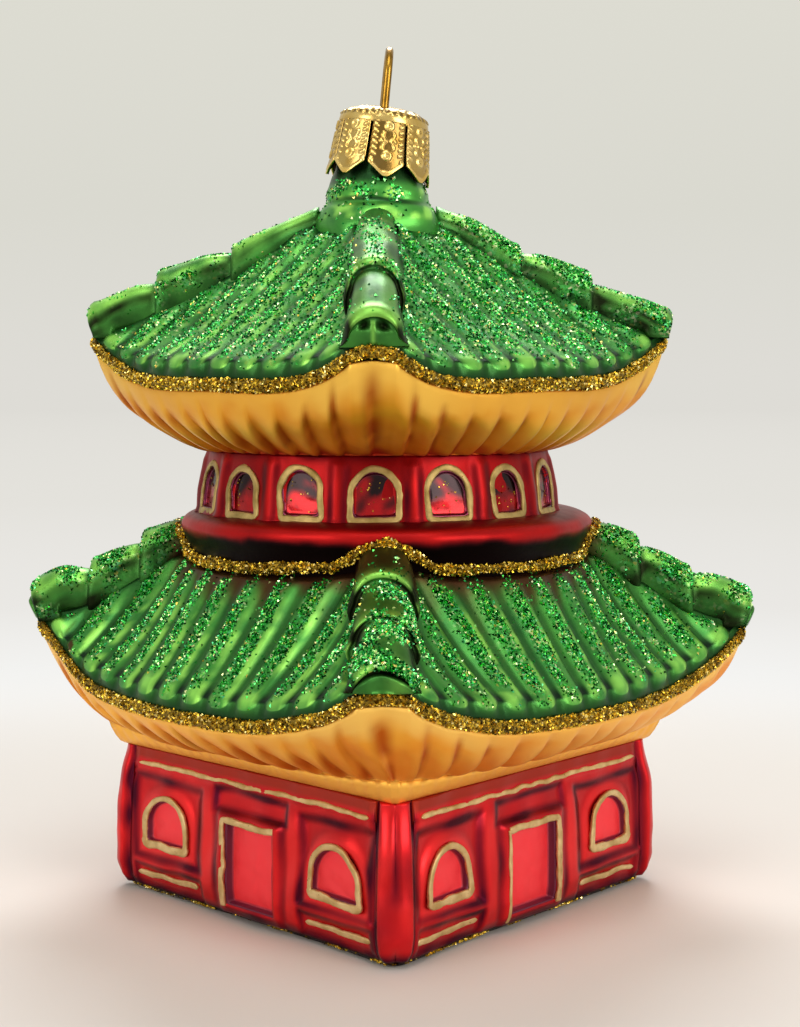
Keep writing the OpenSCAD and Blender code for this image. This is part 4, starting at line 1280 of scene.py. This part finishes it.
def base_pieces():
    """The dark foot, flat below, and the thin broken line of glitter round it."""
    rng = np.random.default_rng(70)
    s = np.linspace(-26, 26, 160)
    sections = []
    for k in range(4):
        rows = [storey_point(k, s, np.full_like(s, WALL_FOOT), np.full_like(s, out)) * (1 - UP) + z * UP
                for z, out in ((1.05, -0.35), (0.7, -0.5), (0.3, -0.75), (0.0, -1.4))]
        rows += [on_face(k, s * 0.1, np.full_like(s, 2.6), z) for z in (0.0, 1.05)]
        sections.append(np.array(rows).transpose(1, 0, 2))
    grid = np.concatenate(sections)
    make_piece("base_foot", ring(grid), FOOT_GRIT, ["base_glitter"])
    edge = grid[:, 1:3]
    at, way = scatter(edge, Waves(71, 8).part(edge, 0.35, 1.1, 0.03, None), 1500, rng)
    at[:, 2] = np.maximum(at[:, 2], 0.32)
    glitter_piece("base_foot_flakes", [(at, way)], GOLD_FLAKES, rng, size=(0.28, 0.46), lift=0.03, lean=24)


# ---- Round parts ----

def turned_piece(name, outline, material, node, steps, uneven, seed, fields, form=None):
    """A closed outline of (radius, height), turned about the upright axis. form moves the
    points and fields gives a number for each by name, both from the points and their angles."""
    a = np.linspace(0, 2 * math.pi, steps, endpoint=False)[:, None]
    r, z = np.array(outline, float).T
    grid = around(r, a, z)
    if form is not None:
        grid = form(grid, a)
    grid = grid + unit(grid * [1, 1, 0]) * (uneven * Waves(seed, 9)(grid))[..., None]
    make_piece(name, ring(grid), material, [node], fields=fields(grid, a))
    return grid


def ledge_piece():
    """The rolled ledge, with a painted highlight along its crest, painted shade, near black,
    below it down to the garland, and lighter painted shade on its top.
    """
    top = bend([(27.2, 47.3), (27.45, 48.8), (28.0, 50.1), (28.3, 51.1), (28.15, 51.8), (27.6, 52.4),
                (26.7, 52.8), (25.7, 53.05), (24.6, 53.2)], 3)
    outline = [(25.7, 44.0), (27.2, 44.0), *top, (22.3, 53.1), (22.3, 51.9), (25.7, 50.5)]
    slow, quick = Waves(81, 8), Waves(82, 3)

    def fields(grid, a):
        z = grid[..., 2]
        # Painted shade below the crest and on the top, and a painted highlight along the crest.
        stain = fade(49.9, 51.1, z + 0.4 * slow(grid) + 0.15 * quick(grid))
        return {"shade": np.maximum(stain, 0.4 * ease(52.1, 52.9, z + 0.3 * slow(grid))), "stain": stain,
                "glow": 0.6 * bump(z, 51.6, 0.4, 0.8) * slow.part(grid, 0.7, 0.6)}

    turned_piece("ledge_lacquer", outline, DRUM_RED, "ledge", steps=240, uneven=0.16,
                 seed=80, fields=fields)


DRUM_WINDOWS = 16
DRUM_BAY = 2 * math.pi / DRUM_WINDOWS
DRUM_FOOT, DRUM_TOP, DRUM_IN = 52.95, 61.4, 21.9
DRUM_R = 24.4
DRUM_LINE = 0.85
DRUM_PANE_W, DRUM_PANE_H = 5.0, 5.5
PANE_FLECKS = 14


def drum_r(z):
    return np.interp(z, [52.8, 53.6, 56, 58.3, 60.2, 61.4], [25.1, 24.7, 24.5, 24.1, 23.7, 23.4])


def bay_place(grid, a):
    """How far across its bay a point lies, 0 at the window and 1 at the pilaster, and its
    distance outside the window's painted line."""
    turn = (a - math.pi / 4) / DRUM_BAY
    x = (turn - np.round(turn)) * DRUM_BAY * DRUM_R
    gap = arch_gap(x, grid[..., 2], DRUM_PANE_W + 2 * DRUM_LINE, DRUM_FOOT, DRUM_PANE_H + 2 * DRUM_LINE)
    return np.abs(x) / (DRUM_BAY * DRUM_R / 2), gap


def drum_piece():
    """The round storey, with a soft pilaster between each two windows."""
    zs = np.linspace(DRUM_FOOT - 0.05, DRUM_TOP, 30)
    outline = [(drum_r(z), z) for z in zs] + [(DRUM_IN, zs[-1]), (DRUM_IN, zs[0])]
    patchy = Waves(85, 6)

    def form(grid, a):
        across, gap = bay_place(grid, a)
        rise = 0.42 * bump(across, 1, 0.02, 0.34) - 0.7 * fade(-DRUM_LINE, -DRUM_LINE + 0.3, gap)
        rise = rise * (1 - 0.6 * ease(59.8, DRUM_TOP, grid[..., 2])) * (radius(grid) > DRUM_IN + 0.6)
        return grid * (1 + (rise / DRUM_R)[..., None] * (1 - UP))

    def fields(grid, a):
        across, gap = bay_place(grid, a)
        z = grid[..., 2]
        # Painted shade beside the pilasters, under the top and low between the windows, and a painted
        # highlight down each pilaster.
        beside = 0.6 * bump(across, 0.8, 0.03, 0.18) * ease(0.0, 0.4, gap) * fade(59.5, 61, z)
        ends = 0.5 * ease(60.2, 61.3, z) + 0.35 * fade(53.2, 54.2, z) * ease(0.1, 0.5, gap)
        return {"shade": np.clip(np.maximum(beside, ends) * (0.8 + 0.5 * patchy(grid)), 0, 1),
                "glow": 0.6 * bump(across, 1, 0.06, 0.14) * patchy.part(grid, 0.5, 0.8)}

    turned_piece("upper_storey_lacquer", outline, DRUM_RED, "upper_storey", steps=576,
                 uneven=0.1, seed=84, fields=fields, form=form)


def drum_windows():
    """Arched windows round the storey, each a little different, as they are painted."""
    rng = np.random.default_rng(86)
    cups, fields, strokes, glints = [], [], [], []
    for i in range(DRUM_WINDOWS):
        facing = math.radians(45 + 360 * i / DRUM_WINDOWS)
        w, h = DRUM_PANE_W + rng.uniform(-0.3, 0.35), DRUM_PANE_H + rng.uniform(-0.3, 0.2)
        skew, square = rng.uniform(-0.09, 0.09), rng.uniform(0, 0.3)

        def place(x, z, out):
            up = z - DRUM_FOOT
            a = facing + (x * (1 + 0.03 * square * up) + skew * up) / DRUM_R
            return around(drum_r(z) + out, a, z + 0.12 * square * x)

        pane, made = cup(arch_path(w + 0.2, DRUM_FOOT + DRUM_LINE, h, 40), place, 0.0, -0.6, rng)
        cups.append(pane)
        fields.append(made)
        line = arch_path(w + DRUM_LINE, DRUM_FOOT + DRUM_LINE / 2, h + DRUM_LINE, 64)
        strokes.append(stroke(line, DRUM_LINE, place, 0.03, True, rng))
        x = rng.uniform(-w * 0.36, w * 0.36, PANE_FLECKS)
        z = DRUM_FOOT + DRUM_LINE + rng.uniform(0.4, h * 0.8, PANE_FLECKS)
        at = place(x, z, -0.56)
        glints.append((at, at * [1, 1, 0] / 24))
    make_piece("upper_window_glass", join(cups), DRUM_PANE, ["upper_window_panes"],
               fields={key: gather(fields, key) for key in ("shade", "gloom")})
    make_piece("upper_window_paint", join(strokes), DRUM_LINES, ["upper_window_outlines"])
    glitter_piece("upper_window_flecks", glints, GOLD_FLAKES, rng, size=(0.16, 0.34))


CAPPED_Z = 99


def neck_piece():
    """The glass neck, creased above its collar and full of glitter under the cap."""
    outer = bend([(8.7, 89.5), (8.7, 91.2), (8.4, 92.6), (7.9, 93.8), (7.3, 94.5), (7.1, 95.0), (7.0, 95.9),
                  (6.5, 97.0), (5.9, 98.4), (5.3, 99.8), (5.2, 102.4)], 5)
    outline = [(7.2, 88.5), *outer, (4.7, 102.4), (4.7, 98), (5.6, 94.4)]

    def fields(grid, a):
        z = grid[..., 2]
        # Painted shade in the crease and under the cap, and painted highlights on the rolls above and below
        # it.
        crease = bump(z + 0.35 * np.sin(2 * a + 1), 94.7, 0.12, 0.4)
        crease = crease * np.clip(0.6 + 0.7 * np.cos(2 * (a + 0.8)), 0.15, 1)
        rolls = bump(z, 93.2, 0.4, 0.9) + bump(z, 95.8, 0.3, 0.8)
        return {"shade": np.maximum(0.9 * crease, 0.85 * ease(96.4, 97.8, z)),
                "glow": Waves(93, 3.2).part(grid, 0, 1.5) * rolls}

    grid = turned_piece("neck_lacquer", outline, GREEN, "neck", steps=120, uneven=0.5,
                        seed=90, fields=fields)
    rng = np.random.default_rng(91)
    outside = grid[:, 4:40]
    z = outside[..., 2]
    high = ease(93.5, 95.2, z) + 0.15 * ease(91, 92, z)
    weight = Waves(92, 3.5).part(outside, 0.2, 1.3, 0.02, None) * high * (z < CAPPED_Z)
    glitter_piece("neck_glitter", [scatter(outside, weight, 900, rng)], GREEN_FLAKES, rng)


# ---- Cap and hanger ----

LEAN_Z = 98.5
CAP_LEAN, HANGER_LEAN = 7.0, 5.5
CAP_TABS = 8
CAP_R = 6.45
CAP_FOOT, CAP_TURN = 97.9, -58.5
TAB_H = 7.5
BEADS, BEADS_Z = 38, 106.5
LOOP_HALF, LOOP_TOP, LOOP_TURN = 3.75, 116, -42.5
WIRE_R = 0.55


def leaned(points, angle):
    """Leans points toward the back right corner, about the neck's shoulder."""
    axis = Vector((1, -1, 0)).normalized()
    turn = np.array(Matrix.Rotation(math.radians(-angle), 3, axis))
    pivot = LEAN_Z * UP
    return (points - pivot) @ turn.T + pivot


def tab_relief(x, t, half, tab_half):
    """Stamped pattern of a tab, 0 to 1, at x across it and t mm above its point: dashes and
    a border along its edges, and two rings over and under a scroll with a bud on each side.
    half is the tab's half width at this height and tab_half its full one."""
    edge = tab_half - np.abs(x)
    slant = t + 0.5 * edge
    dashes = bump(edge, 0.55, 0.26, 0.12) * ease(-0.1, 0.35, np.sin(slant * 2 * math.pi / 0.76))
    dashes = dashes * ease(2.2, 2.6, t) * fade(7.3, 7.6, t)
    border = bump(half - np.abs(x), 0.3, 0.22, 0.14) * fade(2.0, 2.5, t) + bump(t, 0.35, 0.25, 0.15)
    from_middles = [np.hypot(x, t - z) for z in (2.75, 6.7)]
    rings = [np.maximum(bump(off, 0.46, 0.13, 0.12), 0.8 * fade(0.12, 0.22, off)) for off in from_middles]
    swing = np.abs(x) - 0.25 - 0.55 * np.abs(np.sin((t - 4.7) * 1.9))
    scroll = bump(swing, 0, 0.1, 0.12) * bump(t, 4.7, 1.15, 0.15)
    buds = bump(np.hypot(np.abs(x) - 0.95, t - 4.7), 0, 0.16, 0.12)
    return np.clip(np.maximum.reduce([dashes, border, scroll, buds] + rings), 0, 1)


def cap_r_at(z):
    return np.interp(z, [97.9, 100.7, 103.7, 105.5], [6.85, 6.65, 6.35, 6.15])


def cap_tab(i, rng):
    """One pointed tab of the cap: a thin curved plate with its pattern stamped outward, and
    its painted shade, darkest in the pattern's ground, most on the front tab, and full on its
    hidden inside."""
    tab_half = CAP_R * math.pi / CAP_TABS - 0.19
    facing = math.radians(CAP_TURN + 360 / CAP_TABS * (i + 0.5))
    flare = rng.uniform(0.05, 0.4)
    rows, dark = [], []
    for t in np.arange(0, TAB_H, TAB_STEP):
        half = min(tab_half, 0.25 + t * 1.2)
        x = np.linspace(-half, half, 37)
        z = CAP_FOOT + t
        relief = tab_relief(x, t, half, tab_half)
        r = cap_r_at(z) + flare * ease(0, 8, 8 - t) ** 2 + 0.2 * relief
        rows.append(around(r, facing + x / CAP_R, z))
        # Painted shade in the pattern's ground, twice as dark on the front tab.
        dark.append((0.8 if i == 0 else 0.4) * (1 - relief) ** 2)
    outer = np.array(rows)
    inner = (outer - unit(outer * [1, 1, 0]) * 0.4)[:, ::-4]
    shade = np.concatenate([dark, np.ones(inner.shape[:2])], 1)
    return capped(np.concatenate([outer, inner], 1)), np.append(shade, [1, 1])


def cap_crown():
    """The domed top of the cap, grained and with a row of beads round its shoulder, with
    painted shade between the beads, over the whole crown and most on its top.
    """
    outline = bend([(6.15, 105.1), (6.13, 105.7), (5.95, 106.3), (5.5, 106.8), (4.6, 107.25), (3.2, 107.55),
                    (1.6, 107.72), (0.05, 107.75)], 4)
    a = np.linspace(0, 2 * math.pi, 228, endpoint=False)[:, None]
    r, z = outline.T
    bead = ease(-0.2, 0.5, np.sin(a * BEADS)) * bump(z, BEADS_Z, 0.22, 0.15)
    outer = around(r + 0.16 * bead, a, z)
    outer[..., 2] += 0.09 * Waves(96, 1.1, 20)(outer)
    inner = (outer * [0.93, 0.93, 1] - 0.4 * UP)[:, ::-3]
    dark = 0.6 * (1 - bead) * bump(z, BEADS_Z, 0.25, 0.15) + 0.2 + 0.4 * ease(106.7, 107.3, z)
    shade = np.concatenate([np.clip(dark, 0, 1), np.ones(inner.shape[:2])], 1)
    return ring(np.concatenate([outer, inner], 1)), shade.ravel()


def cap_piece():
    rng = np.random.default_rng(95)
    solids, shades = zip(cap_crown(), *[cap_tab(i, rng) for i in range(CAP_TABS)])
    points, faces = join(solids)
    make_piece("cap_stamped", (leaned(points, CAP_LEAN), faces), CAP_GOLD, ["cap"],
               fields={"shade": np.concatenate(shades)})


def hanger_piece():
    """A loop of springy wire, its legs spread inside the neck."""
    arc_z = LOOP_TOP - WIRE_R - LOOP_HALF
    turn = np.linspace(0, math.pi, 40)
    loop = np.stack([LOOP_HALF * np.cos(turn), 0 * turn, arc_z + LOOP_HALF * np.sin(turn)], -1)
    leg = bend([(LOOP_HALF + 0.4, 0, 101), (LOOP_HALF + 0.1, 0, 104), (LOOP_HALF, 0, 107),
                (LOOP_HALF - 0.05, 0, 110)], 8)
    path = evenly(np.vstack([leg, loop[1:], (leg * [-1, 1, 1])[::-1]]), 150)
    side = np.array([0.0, 1.0, 0.0])
    up = np.cross(unit(np.gradient(path, axis=0)), side)
    a = np.linspace(0, 2 * math.pi, 20, endpoint=False)[None, :, None]
    sections = path[:, None] + WIRE_R * (np.cos(a) * side + np.sin(a) * up[:, None])
    # A painted dark reflection in two strips along the wire, broken into patches.
    dark_reflection = bump(np.cos(a[..., 0]), 0.85, 0.1, 0.12) * ease(-0.4, 0.4, Waves(97, 3)(sections))
    points, faces = capped(turned(sections, LOOP_TURN))
    make_piece("hanger_wire", (leaned(points, HANGER_LEAN), faces), WIRE_GOLD, ["hanger"],
               fields={"shade": np.append(0.8 * dark_reflection, [1, 1])})


# ---- Build ----

# Each tile of a hip: radius and crest height at its inner end, then at its outer end.
LOW_TILES = ((26, 51.9, 34.8, 50), (34.4, 48, 42, 45.9), (41.6, 44.2, 49.5, 42.4))
LOW_RIGHT_TILES = ((26, 51.7, 35, 49.5), (34.6, 47.6, 42.1, 45.3), (41.7, 43.8, 50.3, 42.3))
LOW_LEFT_TILES = ((26, 51.9, 33.8, 50.2), (33.4, 48, 41.3, 46), (40.9, 44.2, 50.4, 42.7))
LOW_FRONT_TILES = ((26, 51.6, 35, 48.1), (34.6, 46.9, 42.1, 44.2), (41.7, 43.6, 50, 40.8))
TOP_TILES = ((8, 94.4, 19.9, 89.6), (19.4, 88, 30.2, 86), (29.7, 84, 40.2, 81.7))
TOP_RIGHT_TILES = ((8, 94.4, 19.5, 89.6), (19, 88.1, 29.2, 86), (28.8, 84, 40.5, 80.9))
TOP_FRONT_TILES = ((8, 93.6, 30.2, 86.3), (29.7, 85, 40.2, 81.4))
# Each hip's tiles, its half widths at a tile's two ends, and the glitter on each tile.
LOW_HIPS = ((LOW_FRONT_TILES, (0.95, 1.26), (0.02, 1.0, 1.0)),
            (LOW_RIGHT_TILES, (0.82, 1.18), (0.9, 1.0, 0.7)),
            (LOW_TILES, (0.82, 1.18), (1.0, 0.9, 0.9)),
            (LOW_LEFT_TILES, (0.82, 1.18), (0.9, 1.0, 0.8)))
TOP_HIPS = ((TOP_FRONT_TILES, (0.88, 1.17), (0.22, 0.05)),
            (TOP_RIGHT_TILES, (0.8, 1.18), (1.0, 0.9, 0.8)),
            (TOP_TILES, (0.8, 1.18), (0.8, 0.9, 0.7)),
            (TOP_TILES, (0.8, 1.18), (0.1, 0.9, 0.05)))


def made_by(*builders):
    """Runs builders and gives the pieces that they made."""
    before = set(bpy.data.objects)
    for build in builders:
        build()
    return set(bpy.data.objects) - before


def reshape(pieces, change):
    """Moves the points of pieces, an array in millimetres, as change says."""
    for piece in pieces:
        flat = np.empty(len(piece.data.vertices) * 3)
        piece.data.vertices.foreach_get("co", flat)
        points = change(flat.reshape(-1, 3) / MM) * MM
        piece.data.vertices.foreach_set("co", points.ravel())


def pull(pieces, k, out, up, start, end):
    """Moves corner k out along its diagonal and up. Nothing moves nearer than start."""
    way = corner_way(k)

    def change(points):
        part = ease(start, end, points @ way)[:, None]
        return points + part * (out * way + up * UP)

    reshape(pieces, change)


def twist(pieces, degrees, whole_z, still_z):
    """Turns pieces about the upright axis, fully below whole_z and not at all above still_z."""
    def change(points):
        turn = np.radians(degrees) * fade(whole_z, still_z, points[:, 2])
        x, y = points[:, 0], points[:, 1]
        c, s = np.cos(turn), np.sin(turn)
        return np.stack([x * c - y * s, x * s + y * c, points[:, 2]], -1)

    reshape(pieces, change)


def swell(pieces, by, whole_z, still_z):
    """Widens pieces by a part of their width, fully below whole_z and not at all above
    still_z."""
    def change(points):
        return points * (1 + by * fade(whole_z, still_z, points[:, 2:]) * (1 - UP))

    reshape(pieces, change)


def low_roof_pieces():
    soffit_piece(LOW_EAVE, "lower_soffit", LOW_SOFFIT, flutes=13, straight=0.75, curl=6, feet=low_feet,
                 near_foot=(0.0, 0.5, 0.2), seed=130)
    eave_band(LOW_EAVE, "lower_eave_band", "lower_eave_glitter", seed=140, flake_count=7000)
    roof_piece(LOW_ROOF, "lower_roof", stain_near=0.9, loose=0.02, seed=11, flake_count=21500)
    hip_pieces(LOW_ROOF, "lower_hip", LOW_HIPS, end_foot_z=36.8, seed=100, stain_near=0.8, face=lobed_end)


def top_roof_pieces():
    soffit_piece(TOP_EAVE, "upper_soffit", TOP_SOFFIT, flutes=11, straight=0.65, curl=9, feet=top_feet,
                 near_foot=(0.9, 0.0, 0.22), seed=132)
    eave_band(TOP_EAVE, "upper_eave_band", "upper_eave_glitter", seed=142, flake_count=6000)
    roof_piece(TOP_ROOF, "upper_roof", stain_near=0.0, loose=0.24, seed=21, flake_count=20500)
    hip_pieces(TOP_ROOF, "upper_hip", TOP_HIPS, end_foot_z=76.4, seed=120, stain_near=0.0, face=hollow_end)


def build_lower_tier():
    """The lower storey stands turned a little under its roof and widens toward its foot, and
    three of the roof's corners hang, lift or lie further out."""
    roof = made_by(low_roof_pieces)
    pull(roof, FRONT_RIGHT, out=0.0, up=-0.75, start=40, end=49)
    pull(roof, BACK_RIGHT, out=0.5, up=0.0, start=38, end=48)
    pull(roof, FRONT_LEFT, out=-1.1, up=1.1, start=38, end=48)
    storey = made_by(base_pieces, wall_pieces, post_pieces, front_pieces)
    swell(storey, by=0.026, whole_z=14, still_z=WALL_TOP)
    pull(storey, FRONT_RIGHT, out=0.7, up=0.0, start=28, end=35)
    twist(roof | storey, degrees=2.1, whole_z=21.5, still_z=31)
    garland()
    ledge_piece()


def build_upper_tier():
    """The storey over the ledge, its roof, the neck and the cap, moved to the CAD roof's middle."""
    roof = made_by(top_roof_pieces)
    pull(roof, FRONT_RIGHT, out=0.0, up=-1.7, start=24, end=39)
    pull(roof, FRONT_LEFT, out=-0.4, up=0.0, start=30, end=39)
    rest = made_by(drum_piece, drum_windows, neck_piece, cap_piece, hanger_piece)
    low, high = box_mm("upper_roof")
    middle = Vector((low + high) / 2 * MM)
    for piece in roof | rest:
        piece.data.transform(Matrix.Translation((middle.x, middle.y, 0)))


def dress_base_plate():
    """Gives the CAD plate, which lies in the foot, the glitter's bed as its look."""
    plate = frame["nodes"]["base_plate"]
    plate.data.materials.clear()
    plate.data.materials.append(GOLD_GRIT)


build_lower_tier()
build_upper_tier()
dress_base_plate()


# ---- Stage, light and camera ----

def seen_directly(n):
    """1 for camera, glossy and transmission rays, 0 for the light that falls on things."""
    path = n.add("LightPath").outputs
    glossy = n.sum("MAXIMUM", path["Is Camera Ray"], path["Is Glossy Ray"])
    return n.sum("MAXIMUM", glossy, path["Is Transmission Ray"])


# Warm pale greys of the backdrop, by the height of the direction looked in.
BACKDROP = ((0.0, "#dedcd6"), (0.09, "#dad9d0"), (0.3, "#dfded3"))
FILL_COLOUR, FILL_STRENGTH = "#f4f2ee", 0.34


def make_world():
    """An even fill light, seen as the backdrop."""
    n = Nodes(bpy.data.worlds.new("studio"))
    height = n.add("SeparateXYZ", {0: n.place["Generated"]}).outputs["Z"]
    seen = n.add("Background", {"Color": n.ramp(height, BACKDROP)})
    fill = n.add("Background", {"Color": FILL_COLOUR, "Strength": FILL_STRENGTH})
    n.shown(seen_directly(n), fill, seen)
    bpy.context.scene.world = n.owner


FLOOR_R = 3.0
# The far floor's colours by distance from the object, and where it fades in, in metres.
SWEEP = ((0.16, "#f6f6f4"), (0.31, "#eae8e4"), (0.73, "#e4e2dc"), (3.0, "#dedcd6"))
FADE = (0.09, 0.2)


def floor_material():
    """A pale warm floor near the object. Further out it is seen as an even, glowing sweep
    that grows into the backdrop's grey."""
    n = material_nodes("floor")
    n.set(Base_Color="#dcd7d1", Roughness=0.7)
    far = n.add("VectorMath", {0: n.place["Object"]}, operation="LENGTH").outputs["Value"]
    stops = [(r / FLOOR_R, colour) for r, colour in SWEEP]
    glow = n.add("Emission", {"Color": n.ramp(n.sum("DIVIDE", far, FLOOR_R), stops)})
    inputs = {"Value": far, "From Min": FADE[0], "From Max": FADE[1]}
    fading = n.add("MapRange", inputs, interpolation_type="SMOOTHSTEP").outputs["Result"]
    n.shown(n.sum("MULTIPLY", seen_directly(n), fading), n.shader, glow)
    return n.owner


def make_floor():
    mesh = bpy.data.meshes.new("floor")
    turns = np.linspace(0, 2 * math.pi, 96, endpoint=False)
    rim = [(FLOOR_R * math.cos(a), FLOOR_R * math.sin(a), CAD_LOW.z) for a in turns]
    mesh.from_pydata(rim, [], [list(range(len(rim)))])
    mesh.materials.append(floor_material())
    add_object("floor", mesh)


def aim(holder, way):
    holder.rotation_euler = way.to_track_quat("-Z", "Y").to_euler()


def soft_box(name, azimuth, elevation, distance, size, power, colour):
    """A rectangular area lamp aimed at the middle of the object."""
    lamp = bpy.data.lights.new(name, "AREA")
    lamp.shape = "RECTANGLE"
    lamp.size, lamp.size_y = size
    lamp.energy = power
    lamp.color = rgb(colour)[:3]
    holder = add_object(name, lamp)
    a, e = math.radians(azimuth), math.radians(elevation)
    way = Vector((math.cos(e) * math.sin(a), -math.cos(e) * math.cos(a), math.sin(e)))
    holder.location = (CAD_LOW + CAD_HIGH) / 2 + way * distance
    aim(holder, -way)


# Each soft box: azimuth from the front to the right and elevation in degrees, distance and
# size in metres, power in watts and colour. One is above and behind, one high over the front
# right corner, and two weak ones are low before the faces that the camera sees.
SOFT_BOXES = (("back_box", 225, 50, 0.7, (0.35, 0.3), 3.5, "#ffffff"),
              ("top_box", 45, 64, 0.6, (0.35, 0.35), 1.3, "#ffffff"),
              ("left_box", 0, 16, 0.6, (0.25, 0.35), 1.05, "#fff8f0"),
              ("right_box", 90, 16, 0.6, (0.25, 0.35), 1.55, "#fff8f0"))


EYE_OUT, EYE_ASIDE, EYE_UP = 0.242, 0.00194, 0.072
EYE_PITCH = math.radians(4.67)


def make_camera():
    """The photograph's viewing angle: toward the front right corner, from just above."""
    camera = bpy.data.cameras.new("camera")
    camera.lens = 61.2
    holder = add_object("camera", camera)
    toward = Vector((1, -1, 0)).normalized()
    right = Vector((1, 1, 0)).normalized()
    holder.location = toward * EYE_OUT + right * EYE_ASIDE + Vector((0, 0, CAD_LOW.z + EYE_UP))
    aim(holder, -toward * math.cos(EYE_PITCH) - Vector((0, 0, math.sin(EYE_PITCH))))
    bpy.context.scene.camera = holder


make_world()
make_floor()
for box in SOFT_BOXES:
    soft_box(*box)
make_camera()
bpy.context.scene.view_settings.view_transform = "Standard"
